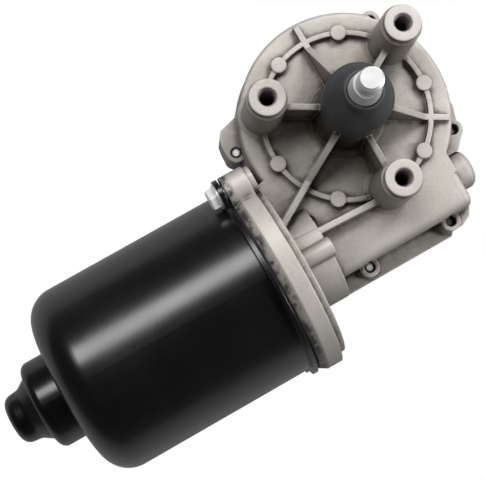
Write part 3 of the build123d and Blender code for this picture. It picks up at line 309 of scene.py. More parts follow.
# %% Soft edges
EDGE_GAIN, EDGE_SAMPLES = 1.8, 6
soft_edges, start, end = shader_group(
    "soft_edges",
    [("Radius", FLOAT, 0.0004)],
    [("Normal", VECTOR), ("Edge", FLOAT)],
)
bevel = soft_edges.nodes.new("ShaderNodeBevel")
bevel.samples = EDGE_SAMPLES
soft_edges.links.new(start.outputs["Radius"], bevel.inputs["Radius"])
geometry = soft_edges.nodes.new("ShaderNodeNewGeometry")
turn = soft_edges.nodes.new("ShaderNodeVectorMath")
turn.operation = "DOT_PRODUCT"
soft_edges.links.new(bevel.outputs[0], turn.inputs[0])
soft_edges.links.new(geometry.outputs["Normal"], turn.inputs[1])
edge = math_node(soft_edges, "SUBTRACT", 1.0, turn.outputs["Value"], clamp=True)
edge = math_node(soft_edges, "MULTIPLY", edge, EDGE_GAIN, clamp=True)
soft_edges.links.new(bevel.outputs[0], end.inputs["Normal"])
soft_edges.links.new(edge, end.inputs["Edge"])
print("group", soft_edges.name)

# %% Grain and mottle
MOTTLE_RANGE, SPECK_RANGE = (0.35, 0.68), (0.58, 0.72)
grain, start, end = shader_group(
    "grain",
    [("Scale", FLOAT, 900.0), ("Mottle Scale", FLOAT, 60.0)],
    [("Height", FLOAT), ("Mottle", FLOAT), ("Speck", FLOAT)],
)
fine = noise_node(grain, start.outputs["Scale"], 4.0, 0.6)
broad = noise_node(grain, start.outputs["Mottle Scale"], 3.0, 0.55)
grain.links.new(fine, end.inputs["Height"])
grain.links.new(ramp_node(grain, broad, *MOTTLE_RANGE), end.inputs["Mottle"])
grain.links.new(ramp_node(grain, fine, *SPECK_RANGE), end.inputs["Speck"])
print("group", grain.name)

# %% Corner grime and painted shade
RAGGED_SCALE, RAGGED_LEAST, CORNER_SAMPLES = 240.0, 0.55, 8
grime_and_shade, start, end = shader_group(
    "grime_and_shade",
    [("Reach", FLOAT, 0.008)],
    [("Mask", FLOAT)],
)
# Ambient occlusion darkens corners and hollows: grime there, and painted shade where less light
# reaches.
corner = grime_and_shade.nodes.new("ShaderNodeAmbientOcclusion")
corner.samples = CORNER_SAMPLES
grime_and_shade.links.new(start.outputs["Reach"], corner.inputs["Distance"])
dark = math_node(grime_and_shade, "SUBTRACT", 1.0, corner.outputs["AO"], clamp=True)
ragged = ramp_node(grime_and_shade, noise_node(grime_and_shade, RAGGED_SCALE, 4.0, 0.6), 0.25, 0.75)
ragged = math_node(grime_and_shade, "ADD", ragged, RAGGED_LEAST)
dark = math_node(grime_and_shade, "MULTIPLY", dark, ragged, clamp=True)
grime_and_shade.links.new(dark, end.inputs["Mask"])
print("group", grime_and_shade.name)

# %% [markdown]
# Upright walls are painted darker and more brown than the level faces: painted shade. The
# next mask is one on upright faces and nothing on level ones. The two after it are places
# on this motor: the joint with the can, and the painted shadow around the hub.

# %% Painted shade on upright walls
painted_wall_shade, start, end = shader_group(
    "painted_wall_shade",
    [("Upright", FLOAT, 0.25), ("Level", FLOAT, 0.8)],
    [("Mask", FLOAT)],
)
facing = painted_wall_shade.nodes.new("ShaderNodeSeparateXYZ")
skin_normal = painted_wall_shade.nodes.new("ShaderNodeNewGeometry").outputs["Normal"]
painted_wall_shade.links.new(skin_normal, facing.inputs[0])
level_share = painted_wall_shade.nodes.new("ShaderNodeMapRange")
steepness = math_node(painted_wall_shade, "ABSOLUTE", facing.outputs["Z"])
painted_wall_shade.links.new(steepness, level_share.inputs["Value"])
painted_wall_shade.links.new(start.outputs["Upright"], level_share.inputs["From Min"])
painted_wall_shade.links.new(start.outputs["Level"], level_share.inputs["From Max"])
upright = math_node(painted_wall_shade, "SUBTRACT", 1.0, level_share.outputs[0], clamp=True)
painted_wall_shade.links.new(upright, end.inputs["Mask"])
print("group", painted_wall_shade.name)

# %% Joint smear
BLOT_SCALE, BLOT_LEAST = 260.0, 0.3
smear, start, end = shader_group(
    "smear",
    [("Clean", FLOAT, 0.0), ("Dirty", FLOAT, -0.002)],
    [("Mask", FLOAT)],
)
across = smear.nodes.new("ShaderNodeSeparateXYZ")
smear.links.new(smear.nodes.new("ShaderNodeTexCoord").outputs["Object"], across.inputs[0])
depth = smear.nodes.new("ShaderNodeMapRange")
smear.links.new(across.outputs["X"], depth.inputs["Value"])
smear.links.new(start.outputs["Clean"], depth.inputs["From Min"])
smear.links.new(start.outputs["Dirty"], depth.inputs["From Max"])
blots = ramp_node(smear, noise_node(smear, BLOT_SCALE, 4.0, 0.6), 0.42, 0.58)
blots = math_node(smear, "ADD", blots, BLOT_LEAST)
smeared = math_node(smear, "MULTIPLY", depth.outputs[0], blots, clamp=True)
smear.links.new(smeared, end.inputs["Mask"])
print("group", smear.name)

# %% Painted shadow around the hub
SHADOW_BREAKUP_SCALE, SHADOW_BREAKUP_LEAST = 180.0, 0.45
# A dark ring around the shaft, strongest next to the hub: a painted shadow of the boot and hub.
painted_hub_shadow, start, end = shader_group(
    "painted_hub_shadow",
    [("Inner", FLOAT, 0.011), ("Outer", FLOAT, 0.016)],
    [("Mask", FLOAT)],
)
flatten = painted_hub_shadow.nodes.new("ShaderNodeVectorMath")
flatten.operation = "MULTIPLY"
flatten.inputs[1].default_value = (1.0, 1.0, 0.0)
painted_hub_shadow.links.new(
    painted_hub_shadow.nodes.new("ShaderNodeTexCoord").outputs["Object"], flatten.inputs[0]
)
from_shaft = painted_hub_shadow.nodes.new("ShaderNodeVectorMath")
from_shaft.operation = "LENGTH"
painted_hub_shadow.links.new(flatten.outputs[0], from_shaft.inputs[0])
near = painted_hub_shadow.nodes.new("ShaderNodeMapRange")
painted_hub_shadow.links.new(from_shaft.outputs["Value"], near.inputs["Value"])
painted_hub_shadow.links.new(start.outputs["Outer"], near.inputs["From Min"])
painted_hub_shadow.links.new(start.outputs["Inner"], near.inputs["From Max"])
shadow_breakup = noise_node(painted_hub_shadow, SHADOW_BREAKUP_SCALE, 3.0, 0.6)
shadow_breakup = math_node(painted_hub_shadow, "ADD", ramp_node(painted_hub_shadow, shadow_breakup, 0.2, 0.8), SHADOW_BREAKUP_LEAST)
shadowed = math_node(painted_hub_shadow, "MULTIPLY", near.outputs[0], shadow_breakup, clamp=True)
painted_hub_shadow.links.new(shadowed, end.inputs["Mask"])
print("group", painted_hub_shadow.name)

# %% [markdown]
# ## Finishes
# Every finish starts from the same bench: a Principled BSDF with soft edges, a little grain
# in the height and colour, grime and painted shade in the corners, and wear where that metal
# or plastic gets it. The layers lie in this order: specks, painted shade on walls, grime and
# painted shade in corners and creases, the smear, the painted hub shadow, rubbed edges on top.

# %% Finish bench
# Crease lines: grime and painted shade along creases.
CREASE_GRIME_SHADE_RANGE, CREASE_GRIME_SHADE_SHARE = (0.14, 0.46), 0.9
CREASE_GRIME_SHADE_COLOUR = (0.07, 0.058, 0.046, 1)
SMEAR_COLOUR = (0.075, 0.07, 0.065, 1)
# Painted shadow around the hub, under the boot.
HUB_SHADOW_COLOUR = (0.045, 0.038, 0.032, 1)
SPECK_COLOUR = (0.30, 0.275, 0.245, 1)


def group_node(tree, group, **values):
    """Places a shader group and sets its inputs; underscores stand for spaces."""
    node = tree.nodes.new("ShaderNodeGroup")
    node.node_tree = group
    for label, value in values.items():
        node.inputs[label.replace("_", " ")].default_value = value
    return node


def finish(
    name,
    colour,
    shade,
    roughness,
    metallic=0.0,
    edge_radius=0.3,
    edge_colour=None,
    grime_shade_colour=None,
    grime_shade_reach=6.0,
    grain_size=0.9,
    mottle_size=14.0,
    grain_height=0.02,
    rough_spread=0.12,
    specular=0.5,
    wall_shade_colour=None,
    wall_shade_share=0.5,
    crease_grime_shade_reach=None,
    smear_x=None,
    hub_shadow_r=None,
    speck_share=0.0,
):
    """Material from a base colour and a shade it wanders to; sizes in millimetres.

    A layer whose colour, reach or place is None is left out.
    """
    material = bpy.data.materials.new(name)
    material.use_nodes = True
    tree = material.node_tree
    shader = tree.nodes["Principled BSDF"]
    shader.inputs["Metallic"].default_value = metallic
    shader.inputs["Specular IOR Level"].default_value = specular
    edges = group_node(tree, soft_edges, Radius=edge_radius * MM)
    skin = group_node(
        tree, grain, Scale=1 / (grain_size * MM), Mottle_Scale=1 / (mottle_size * MM)
    )
    paint = mix_colour(tree, skin.outputs["Mottle"], colour, shade)
    if speck_share > 0.0:
        speck = math_node(tree, "MULTIPLY", skin.outputs["Speck"], speck_share)
        paint = mix_colour(tree, speck, paint, SPECK_COLOUR)
    # Painted shade on upright walls.
    if wall_shade_colour is not None:
        wall_shade = group_node(tree, painted_wall_shade).outputs["Mask"]
        wall_shade = math_node(tree, "MULTIPLY", wall_shade, wall_shade_share)
        paint = mix_colour(tree, wall_shade, paint, wall_shade_colour)
    # Grime and painted shade in the corners.
    if grime_shade_colour is not None:
        corner_grime_shade = group_node(tree, grime_and_shade, Reach=grime_shade_reach * MM)
        paint = mix_colour(tree, corner_grime_shade.outputs["Mask"], paint, grime_shade_colour)
    # Grime and painted shade along creases.
    if crease_grime_shade_reach is not None:
        crease_grime_shade = group_node(tree, grime_and_shade, Reach=crease_grime_shade_reach * MM).outputs["Mask"]
        crease_grime_shade = math_node(tree, "MULTIPLY", ramp_node(tree, crease_grime_shade, *CREASE_GRIME_SHADE_RANGE), CREASE_GRIME_SHADE_SHARE)
        paint = mix_colour(tree, crease_grime_shade, paint, CREASE_GRIME_SHADE_COLOUR)
    if smear_x is not None:
        patch = group_node(tree, smear, Clean=smear_x[0] * MM, Dirty=smear_x[1] * MM)
        paint = mix_colour(tree, patch.outputs["Mask"], paint, SMEAR_COLOUR)
    # Painted shadow around the hub, under the boot.
    if hub_shadow_r is not None:
        hub_shadow_node = group_node(tree, painted_hub_shadow, Inner=hub_shadow_r[0] * MM, Outer=hub_shadow_r[1] * MM)
        paint = mix_colour(tree, hub_shadow_node.outputs["Mask"], paint, HUB_SHADOW_COLOUR)
    if edge_colour is not None:
        paint = mix_colour(tree, edges.outputs["Edge"], paint, edge_colour)
    tree.links.new(paint, shader.inputs["Base Color"])
    spread = math_node(tree, "MULTIPLY", skin.outputs["Mottle"], rough_spread)
    spread = math_node(tree, "ADD", spread, roughness, clamp=True)
    tree.links.new(spread, shader.inputs["Roughness"])
    bump = tree.nodes.new("ShaderNodeBump")
    bump.inputs["Strength"].default_value = 1.0
    bump.inputs["Distance"].default_value = grain_height * MM
    tree.links.new(skin.outputs["Height"], bump.inputs["Height"])
    tree.links.new(edges.outputs["Normal"], bump.inputs["Normal"])
    tree.links.new(bump.outputs[0], shader.inputs["Normal"])
    return material


FINISHES = {}
print("finish bench ready")

# %% [markdown]
# The gearbox is pressure die-cast aluminium, left as cast: pale, warm grey and satin, with
# a fine sandy skin, darker in the corners with grime and painted shade, with painted shade
# on its upright walls, and a little brighter where tools and handling have rubbed the edges.
# The flange is smeared with black along the can, and a painted shadow rings the hub.

# %% Cast aluminium
FINISHES["cast_aluminium"] = finish(
    "cast_aluminium",
    (0.60, 0.565, 0.52, 1),
    (0.52, 0.485, 0.44, 1),
    0.5,
    metallic=0.35,
    edge_radius=0.9,
    edge_colour=(0.74, 0.72, 0.68, 1),
    # grime and painted shade in the corners:
    grime_shade_colour=(0.16, 0.135, 0.11, 1),
    grime_shade_reach=12.0,
    grain_size=1.1,
    mottle_size=18.0,
    grain_height=0.12,
    speck_share=0.35,
    # painted shade on upright walls:
    wall_shade_colour=(0.11, 0.097, 0.084, 1),
    wall_shade_share=0.62,
    # grime and painted shade along creases:
    crease_grime_shade_reach=3.0,
    smear_x=(-47.4, -49.2),
    # painted shadow around the hub:
    hub_shadow_r=(11.5, 15.0),
)
print("finish", FINISHES["cast_aluminium"].name)

# %% [markdown]
# The can is drawn steel under gloss black paint. Paint levels out, so it shows only a
# faint orange-peel, and its highlight has a soft rim.

# %% Black can paint
FINISHES["black_can"] = finish(
    "black_can",
    (0.003, 0.003, 0.0032, 1),
    (0.005, 0.005, 0.0055, 1),
    0.24,
    edge_radius=0.5,
    grain_size=2.6,
    mottle_size=30.0,
    grain_height=0.006,
    rough_spread=0.06,
    specular=0.75,
)
print("finish", FINISHES["black_can"].name)

# %% [markdown]
# The other finishes need only a few numbers each, so they are rows of one table.

# %% Metals, plastics and rubber
# A grime colour on a row darkens its corners with grime and painted shade.
SIMPLE = {
    "zinc_steel": dict(
        colour=(0.95, 0.95, 0.96, 1), shade=(0.88, 0.89, 0.91, 1), roughness=0.32,
        metallic=0.3, edge_radius=0.2, grime_shade_colour=(0.34, 0.33, 0.31, 1), grime_shade_reach=1.5,
        grain_size=0.5, grain_height=0.006,
    ),
    "ground_steel": dict(
        colour=(0.55, 0.55, 0.56, 1), shade=(0.46, 0.46, 0.47, 1), roughness=0.22,
        metallic=1.0, edge_radius=0.2, grain_size=0.4, grain_height=0.004,
    ),
    "bearing_steel": dict(
        colour=(0.66, 0.66, 0.67, 1), shade=(0.60, 0.60, 0.61, 1), roughness=0.10,
        metallic=1.0, edge_radius=0.2, grain_size=0.4, grain_height=0.002,
        rough_spread=0.05,
    ),
    "spring_steel": dict(
        colour=(0.30, 0.31, 0.34, 1), shade=(0.24, 0.24, 0.26, 1), roughness=0.28,
        metallic=1.0, edge_radius=0.1, grain_size=0.5, grain_height=0.004,
    ),
    "core_steel": dict(
        colour=(0.17, 0.165, 0.16, 1), shade=(0.12, 0.11, 0.10, 1), roughness=0.5,
        metallic=0.7, edge_radius=0.1, grain_size=0.6, grain_height=0.02,
    ),
    "copper": dict(
        colour=(0.68, 0.27, 0.12, 1), shade=(0.50, 0.18, 0.08, 1), roughness=0.28,
        metallic=0.9, edge_radius=0.2, grain_size=0.5, grain_height=0.01,
    ),
    "contact_brass": dict(
        colour=(0.72, 0.55, 0.26, 1), shade=(0.62, 0.45, 0.20, 1), roughness=0.25,
        metallic=1.0, edge_radius=0.1, grain_size=0.5, grain_height=0.004,
    ),
    "tinned_brass": dict(
        colour=(0.72, 0.71, 0.68, 1), shade=(0.62, 0.60, 0.56, 1), roughness=0.25,
        metallic=1.0, edge_radius=0.1, grain_size=0.5, grain_height=0.004,
    ),
    "bronze": dict(
        colour=(0.46, 0.31, 0.16, 1), shade=(0.34, 0.22, 0.11, 1), roughness=0.42,
        metallic=0.9, edge_radius=0.2, grain_size=0.3, grain_height=0.02,
    ),
    "ferrite": dict(
        colour=(0.075, 0.075, 0.08, 1), shade=(0.055, 0.055, 0.058, 1), roughness=0.55,
        edge_radius=0.4, grain_size=0.6, grain_height=0.03,
    ),
    "carbon": dict(
        colour=(0.05, 0.045, 0.042, 1), shade=(0.09, 0.06, 0.045, 1), roughness=0.5,
        metallic=0.2, edge_radius=0.2, grain_size=0.3, grain_height=0.02,
    ),
    "brush_card": dict(
        colour=(0.16, 0.085, 0.045, 1), shade=(0.12, 0.06, 0.03, 1), roughness=0.5,
        edge_radius=0.2, grain_size=0.8, grain_height=0.02,
    ),
    "wheel_plastic": dict(
        colour=(0.80, 0.77, 0.66, 1), shade=(0.74, 0.70, 0.58, 1), roughness=0.38,
        edge_radius=0.2, grime_shade_colour=(0.45, 0.40, 0.28, 1), grime_shade_reach=2.0,
        grain_size=1.5, grain_height=0.01,
    ),
    "pad_plastic": dict(
        colour=(0.72, 0.71, 0.64, 1), shade=(0.66, 0.64, 0.56, 1), roughness=0.4,
        edge_radius=0.2, grain_size=1.0, grain_height=0.01,
    ),
    "cover_plastic": dict(
        colour=(0.018, 0.018, 0.019, 1), shade=(0.024, 0.024, 0.025, 1), roughness=0.42,
        edge_radius=0.4, edge_colour=(0.04, 0.04, 0.042, 1), grain_size=0.55,
        mottle_size=22.0, grain_height=0.035,
    ),
    "seal_rubber": dict(
        colour=(0.014, 0.014, 0.014, 1), shade=(0.022, 0.022, 0.021, 1), roughness=0.7,
        edge_radius=0.2, grain_size=0.8, grain_height=0.02,
    ),
    "boot_rubber": dict(
        colour=(0.030, 0.031, 0.033, 1), shade=(0.042, 0.043, 0.045, 1), roughness=0.55,
        edge_radius=0.7, edge_colour=(0.13, 0.13, 0.132, 1), grain_size=1.2,
        mottle_size=8.0, grain_height=0.02,
    ),
}
for name, values in SIMPLE.items():
    FINISHES[name] = finish(name, **values)
print("finishes:", len(FINISHES))

# %% [markdown]
# The boot's lip is coloured paler above its foot: a painted sheen on its rim.

# %% Boot lip
LIP_Z, LIP_BLEND, LIP_SHEEN_COLOUR = 13.0, 0.3, (0.11, 0.11, 0.113, 1)
tree = FINISHES["boot_rubber"].node_tree
shader = tree.nodes["Principled BSDF"]
lip_height = tree.nodes.new("ShaderNodeSeparateXYZ")
tree.links.new(tree.nodes.new("ShaderNodeTexCoord").outputs["Object"], lip_height.inputs[0])
lip_foot, lip_top = (LIP_Z - LIP_BLEND) * MM, (LIP_Z + LIP_BLEND) * MM
lip = ramp_node(tree, lip_height.outputs["Z"], lip_foot, lip_top)
# Painted sheen: the lip is coloured paler above its foot.
lip_sheen = mix_colour(tree, lip, shader.inputs["Base Color"].links[0].from_socket, LIP_SHEEN_COLOUR)
tree.links.new(lip_sheen, shader.inputs["Base Color"])
print("boot lip above", LIP_Z, "mm")

# %% [markdown]
# The spindle is bright plated steel. Its end face is faced off on the lathe: paler, rougher
# and covered in fine rings, so it catches the light from any side. The boss holes are
# freshly cut aluminium, brighter than the cast skin around them.

# %% Spindle and tapped holes
FINISHES["spindle"] = finish(
    "spindle",
    (0.80, 0.80, 0.80, 1),
    (0.72, 0.72, 0.73, 1),
    0.32,
    metallic=0.65,
    edge_radius=0.06,
    grain_size=0.5,
    grain_height=0.004,
)
FACE_Z, RING_PITCH, RING_HEIGHT = 27.8, 0.16, 0.012
FACE_COLOUR, FACE_ROUGHER = (0.76, 0.76, 0.75, 1), 0.24
tree = FINISHES["spindle"].node_tree
shader = tree.nodes["Principled BSDF"]
place = tree.nodes.new("ShaderNodeSeparateXYZ")
tree.links.new(tree.nodes.new("ShaderNodeTexCoord").outputs["Object"], place.inputs[0])
faced = math_node(tree, "GREATER_THAN", place.outputs["Z"], FACE_Z * MM)
old_roughness = shader.inputs["Roughness"].links[0].from_socket
rougher = math_node(tree, "MULTIPLY", faced, FACE_ROUGHER)
rougher = math_node(tree, "ADD", old_roughness, rougher, clamp=True)
tree.links.new(rougher, shader.inputs["Roughness"])
old_colour = shader.inputs["Base Color"].links[0].from_socket
face_colour = mix_colour(tree, faced, old_colour, FACE_COLOUR)
tree.links.new(face_colour, shader.inputs["Base Color"])
square_x = math_node(tree, "POWER", math_node(tree, "ABSOLUTE", place.outputs["X"]), 2.0)
square_y = math_node(tree, "POWER", math_node(tree, "ABSOLUTE", place.outputs["Y"]), 2.0)
distance = math_node(tree, "SQRT", math_node(tree, "ADD", square_x, square_y))
waves = math_node(tree, "SINE", math_node(tree, "MULTIPLY", distance, 2 * pi / (RING_PITCH * MM)))
rings = tree.nodes.new("ShaderNodeBump")
rings.inputs["Distance"].default_value = RING_HEIGHT * MM
tree.links.new(math_node(tree, "MULTIPLY", waves, faced), rings.inputs["Height"])
tree.links.new(shader.inputs["Normal"].links[0].from_socket, rings.inputs["Normal"])
tree.links.new(rings.outputs[0], shader.inputs["Normal"])
FINISHES["tapped_aluminium"] = finish(
    "tapped_aluminium",
    (0.46, 0.45, 0.44, 1),
    (0.36, 0.35, 0.34, 1),
    0.35,
    metallic=0.8,
    edge_radius=0.05,
    grime_shade_colour=(0.05, 0.045, 0.04, 1),
    grime_shade_reach=2.0,
    grain_size=0.4,
    grain_height=0.004,
)
print("finishes:", len(FINISHES))

# %% Dress the nodes
slots = {part["node"]: part["material_slot"] for part in frame["record"]["subparts"]}
for name, node in frame["nodes"].items():
    node.data.materials.clear()
    node.data.materials.append(FINISHES[slots[name]])
print("nodes dressed:", len(slots))

# %% [markdown]
# ## Turned pieces
# Screws, threads and the output shaft are all turned shapes whose radius also wanders with
# the angle: a thread climbs, a knurl repeats, a hexagon has flats. One routine builds them
# from rows of height and radius, and a small shape rule for each row bends the radius.

# %% Turned surface
MERGE_DISTANCE = 1e-7


def turned(name, rows, segments, material, ring=False):
    """Mesh object from rows of (height, radius, rule), in millimetres, around its own Z."""
    points, faces = [], []
    for height, radius, rule in rows:
        for step in range(segments):
            angle = 2 * pi * step / segments
            reach = rule(height, radius, angle)
            points.append((reach * cos(angle), reach * sin(angle), height))
    pairs = list(zip(range(len(rows) - 1), range(1, len(rows))))
    if ring:
        pairs.append((len(rows) - 1, 0))
    for low_row, high_row in pairs:
        for step in range(segments):
            onward = (step + 1) % segments
            a, b = low_row * segments, high_row * segments
            faces.append((a + step, a + onward, b + onward, b + step))
    if not ring:
        faces.append(tuple(range(segments)))
        faces.append(tuple(range((len(rows) - 1) * segments, len(rows) * segments)))
    return solid_object(name, points, faces, material)


def solid_object(name, points, faces, material):
    """Mesh object from points in millimetres, merged, with its normals turned outward."""
    data = bpy.data.meshes.new(name)
    data.from_pydata([tuple(c * MM for c in point) for point in points], [], faces)
    work = bmesh.new()
    work.from_mesh(data)
    bmesh.ops.remove_doubles(work, verts=work.verts, dist=MERGE_DISTANCE)
    bmesh.ops.recalc_face_normals(work, faces=work.faces)
    work.to_mesh(data)
    work.free()
    data.materials.append(material)
    made = bpy.data.objects.new(name, data)
    scene.collection.objects.link(made)
    return made


print("turned surface ready")

# %% Shape rules
CREST_SHARE, FLANK_SHARE = 0.1, 0.75
LOBE_DEPTH, KNURL_FADE = 0.13, 0.6


def plain(height, radius, angle):
    """A round row."""
    return radius


def hexagon(height, radius, angle):
    """A row with six flats; the radius is half the width across flats."""
    return radius / cos((angle % (pi / 3)) - pi / 6)


def six_lobes(height, radius, angle):
    """A row of a six-lobed driver recess."""
    return radius * (1 + LOBE_DEPTH * cos(6 * angle))


def thread(pitch, depth, start, stop, inward=False):
    """A rule for a V thread that fades in over one pitch at both ends."""

    def rule(height, radius, angle):
        turn = (height / pitch - angle / (2 * pi)) % 1.0
        valley = 1 - abs(2 * turn - 1)
        groove = min(max((valley - CREST_SHARE) / FLANK_SHARE, 0.0), 1.0)
        fade = min(max(min(height - start, stop - height) / pitch, 0.0), 1.0)
        cut = depth * fade * groove
        return radius - depth * fade + cut if inward else radius - cut

    return rule


def knurl(teeth, depth, start, stop):
    """A rule for straight serrations that fade in at both ends."""

    def rule(height, radius, angle):
        across_tooth = abs(2 * ((angle * teeth / (2 * pi)) % 1.0) - 1)
        fade = min(max(min(height - start, stop - height) / KNURL_FADE, 0.0), 1.0)
        return radius - depth * fade * across_tooth

    return rule


def threaded_rows(foot, tip, radius, chamfer, count, rule):
    """Evenly spaced rows from foot to tip, drawn in over a chamfer at the tip."""
    found = []
    for n in range(count + 1):
        height = foot + n / count * (tip - foot)
        found.append((height, radius - max(0.0, height - (tip - chamfer)), rule))
    return found


print("rules: plain, hexagon, six_lobes, thread, knurl")

# %% [markdown]
# The output shaft runs from the wheel to its tip. Above the boot come a plain neck, a
# serrated cone that grips the crank, and an M8 thread for the crank nut.

# %% Output shaft
shaft_low, shaft_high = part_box("output_shaft")
TIP_Z, FOOT_Z = shaft_high[2] / MM, shaft_low[2] / MM
JOURNAL_R, NECK_R, CONE_TOP_R, THREAD_R = 6.0, 5.3, 4.6, 3.95
NECK_Z, CONE_Z, CONE_END_Z = 0.6, 14.6, 20.6
THREAD_PITCH, THREAD_DEPTH, TIP_CHAMFER = 1.25, 0.68, 0.5
SERRATIONS, SERRATION_DEPTH, SERRATION_START = 48, 0.10, 0.3
CONE_ROWS, THREAD_ROWS, SHAFT_SEGMENTS = 16, 74, 192
cone_rule = knurl(SERRATIONS, SERRATION_DEPTH, CONE_Z + SERRATION_START, CONE_END_Z)
tip_rule = thread(THREAD_PITCH, THREAD_DEPTH, CONE_END_Z + 0.2, TIP_Z + THREAD_PITCH)
rows = [
    (FOOT_Z, JOURNAL_R - TIP_CHAMFER, plain),
    (FOOT_Z + TIP_CHAMFER, JOURNAL_R, plain),
    (NECK_Z, JOURNAL_R, plain),
    (NECK_Z + JOURNAL_R - NECK_R, NECK_R, plain),
    (CONE_Z, NECK_R, plain),
]
for n in range(CONE_ROWS + 1):
    share = n / CONE_ROWS
    height = CONE_Z + share * (CONE_END_Z - CONE_Z)
    rows.append((height, NECK_R + share * (CONE_TOP_R - NECK_R), cone_rule))
rows.append((CONE_END_Z + 0.02, THREAD_R, plain))
rows += threaded_rows(CONE_END_Z + 0.1, TIP_Z, THREAD_R, TIP_CHAMFER, THREAD_ROWS, tip_rule)
dressed_shaft = turned("threaded_shaft", rows, SHAFT_SEGMENTS, FINISHES["spindle"])
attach(dressed_shaft, OUTPUT)
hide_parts("output_shaft")
print("shaft faces:", len(dressed_shaft.data.polygons))

# %% [markdown]
# ## Copies by Geometry Nodes
# Fasteners of one kind are one mesh, set down at several places. The tree takes the
# template, instances it on the points of the base mesh, realizes the instances and sets
# the material, so the result is one ordinary mesh that rides one body.

# %% Copies tree
copies = bpy.data.node_groups.new("copies", "GeometryNodeTree")
copies.interface.new_socket("Places", in_out="INPUT", socket_type="NodeSocketGeometry")
template_socket = copies.interface.new_socket(
    "Template", in_out="INPUT", socket_type="NodeSocketObject"
)
finish_socket = copies.interface.new_socket(
    "Finish", in_out="INPUT", socket_type="NodeSocketMaterial"
)
copies.interface.new_socket("Copies", in_out="OUTPUT", socket_type="NodeSocketGeometry")
start, end = copies.nodes.new("NodeGroupInput"), copies.nodes.new("NodeGroupOutput")
template_info = copies.nodes.new("GeometryNodeObjectInfo")
set_down = copies.nodes.new("GeometryNodeInstanceOnPoints")
realize = copies.nodes.new("GeometryNodeRealizeInstances")
dress = copies.nodes.new("GeometryNodeSetMaterial")
copies.links.new(start.outputs["Places"], set_down.inputs["Points"])
copies.links.new(start.outputs["Template"], template_info.inputs["Object"])
copies.links.new(template_info.outputs["Geometry"], set_down.inputs["Instance"])
copies.links.new(set_down.outputs["Instances"], realize.inputs["Geometry"])
copies.links.new(realize.outputs["Geometry"], dress.inputs["Geometry"])
copies.links.new(start.outputs["Finish"], dress.inputs["Material"])
copies.links.new(dress.outputs["Geometry"], end.inputs["Copies"])


def set_of(name, template, places):
    """One mesh object with a copy of the template at each place, in millimetres."""
    data = bpy.data.meshes.new(name + "_places")
    data.from_pydata([tuple(c * MM for c in place) for place in places], [], [])
    base = bpy.data.objects.new(name + "_places", data)
    scene.collection.objects.link(base)
    modifier = base.modifiers.new("copies", "NODES")
    modifier.node_group = copies
    modifier[template_socket.identifier] = template
    modifier[finish_socket.identifier] = template.data.materials[0]
    graph = bpy.context.evaluated_depsgraph_get()
    mesh = bpy.data.meshes.new_from_object(base.evaluated_get(graph), depsgraph=graph)
    mesh.name = name
    made = bpy.data.objects.new(name, mesh)
    scene.collection.objects.link(made)
    base.modifiers.remove(modifier)
    bpy.data.objects.remove(base)
    bpy.data.objects.remove(template)
    return made


print("tree", copies.name)

# %% [markdown]
# Five pan-head screws come up through the cover into the housing's lugs. Each has a
# six-lobed recess and a thread that it has formed itself in the casting.

# %% Cover screws
LUGS = [(-37.9, 8.9), (32.4, -21.4), (-17.1, -49.0), (15.3, -49.0), (26.8, 26.8)]
screw_low, screw_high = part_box("cover_screws")
HEAD_R, HEAD_H, SHANK_R, SHANK_CHAMFER = 3.4, 2.4, 1.65, 0.5
RECESS_DEPTH, RECESS_R = 1.5, 1.45
SCREW_PITCH, SCREW_TOOTH, SCREW_RUNOUT = 1.1, 0.32, 0.6
PLAIN_SHANK, SCREW_ROWS, SCREW_SEGMENTS = 2.6, 96, 48
head_z, screw_tip_z = screw_low[2] / MM, screw_high[2] / MM
cover_z = head_z + HEAD_H
recess_z = head_z + RECESS_DEPTH
screw_rule = thread(SCREW_PITCH, SCREW_TOOTH, cover_z + PLAIN_SHANK, screw_tip_z + SCREW_RUNOUT)
rows = [
    (recess_z, 0.3, plain),
    (recess_z - 0.15, RECESS_R, six_lobes),
    (head_z + 0.12, RECESS_R, six_lobes),
    (head_z, RECESS_R + 0.15, six_lobes),
    (head_z, HEAD_R - 1.0, plain),
    (head_z + 0.28, HEAD_R - 0.42, plain),
    (head_z + 0.8, HEAD_R - 0.1, plain),
    (head_z + 1.3, HEAD_R, plain),
    (cover_z, HEAD_R, plain),
    (cover_z, SHANK_R, plain),
]
rows += threaded_rows(
    cover_z + 0.2, screw_tip_z, SHANK_R, SHANK_CHAMFER, SCREW_ROWS, screw_rule
)
screw = turned("screw_template", rows, SCREW_SEGMENTS, FINISHES["zinc_steel"])
cover_set = set_of("cover_screw_set", screw, [(x, y, 0.0) for x, y in LUGS])
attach(cover_set, GEARBOX)
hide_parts("cover_screws")
print("cover screws:", len(LUGS), "faces:", len(cover_set.data.polygons))

# %% [markdown]
# Two hexagon flange screws clamp the can to the gearbox through its ears. They lie along
# the motor, so the template is turned on its side before it is copied.

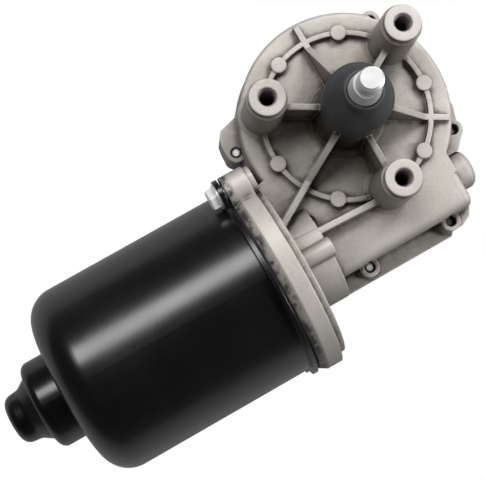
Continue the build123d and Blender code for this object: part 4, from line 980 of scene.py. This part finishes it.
# %% Flange screws
ear_low, ear_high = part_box("flange_screws")
EAR_R, EAR_ANGLE, EAR_HEAD_R, EAR_HEAD_H = 39.0, 37.0, 4.4, 3.6
EAR_SHANK_R, EAR_CHAMFER, WASHER_H, ACROSS_FLATS_HALF = 2.5, 0.5, 0.9, 3.6
EAR_PITCH, EAR_TOOTH, EAR_PLAIN, EAR_RUNOUT = 0.8, 0.42, 3.0, 0.4
EAR_ROWS, EAR_SEGMENTS = 80, 72
near_x, far_x = ear_high[0] / MM, ear_low[0] / MM
seat_x = far_x + EAR_HEAD_H
ear_length = near_x - seat_x
ear_rule = thread(EAR_PITCH, EAR_TOOTH, EAR_PLAIN, ear_length + EAR_RUNOUT)
rows = [
    (-EAR_HEAD_H, 1.2, plain),
    (-EAR_HEAD_H + 0.25, 2.0, plain),
    (-EAR_HEAD_H, 2.6, plain),
    (-EAR_HEAD_H, 3.2, plain),
    (-EAR_HEAD_H + 0.35, ACROSS_FLATS_HALF - 0.12, hexagon),
    (-WASHER_H, ACROSS_FLATS_HALF - 0.05, hexagon),
    (-WASHER_H, EAR_HEAD_R - 0.25, plain),
    (-WASHER_H + 0.25, EAR_HEAD_R, plain),
    (0.0, EAR_HEAD_R, plain),
    (0.0, EAR_SHANK_R, plain),
]
rows += threaded_rows(0.1, ear_length, EAR_SHANK_R, EAR_CHAMFER, EAR_ROWS, ear_rule)
bolt = turned("bolt_template", rows, EAR_SEGMENTS, FINISHES["zinc_steel"])
bolt.data.transform(Matrix.Rotation(radians(90), 4, "Y"))
ear_places = []
for turn in (0.0, 180.0):
    angle = radians(EAR_ANGLE + turn)
    ear_places.append((seat_x, MOTOR_Y + EAR_R * cos(angle), MOTOR_Z + EAR_R * sin(angle)))
ear_set = set_of("flange_screw_set", bolt, ear_places)
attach(ear_set, GEARBOX)
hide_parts("flange_screws")
print("flange screws:", len(ear_places), "faces:", len(ear_set.data.polygons))

# %% [markdown]
# The three boss holes are tapped M6. Each gets a sleeve whose inner side is the thread,
# with its outer side sunk a hair into the casting. It starts just below the boss face, so
# the hole keeps its chamfer.

# %% Boss threads
BOSS_BORE_R, BOSS_DEPTH, BOSS_PITCH, BOSS_TOOTH = 3.0, 19.6, 1.0, 0.5
SLEEVE_TOP, SLEEVE_ROWS, SLEEVE_SEGMENTS = -0.32, 180, 40
outer_r, inner_r = BOSS_BORE_R + 0.05, BOSS_BORE_R + 0.02
boss_rule = thread(BOSS_PITCH, BOSS_TOOTH, -BOSS_DEPTH, 0.1, inward=True)
rows = [(-BOSS_DEPTH, outer_r, plain), (SLEEVE_TOP, outer_r, plain)]
for n in range(SLEEVE_ROWS + 1):
    height = SLEEVE_TOP - n / SLEEVE_ROWS * (BOSS_DEPTH + SLEEVE_TOP)
    rows.append((height, inner_r, boss_rule))
sleeve = turned(
    "sleeve_template", rows, SLEEVE_SEGMENTS, FINISHES["tapped_aluminium"], ring=True
)
boss_places = []
for turn in BOSS_ANGLES:
    angle = radians(turn)
    boss_places.append((BOSS_CIRCLE * cos(angle), BOSS_CIRCLE * sin(angle), 0.0))
boss_threads = set_of("boss_threads", sleeve, boss_places)
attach(boss_threads, GEARBOX)
print("boss threads:", len(boss_places), "faces:", len(boss_threads.data.polygons))
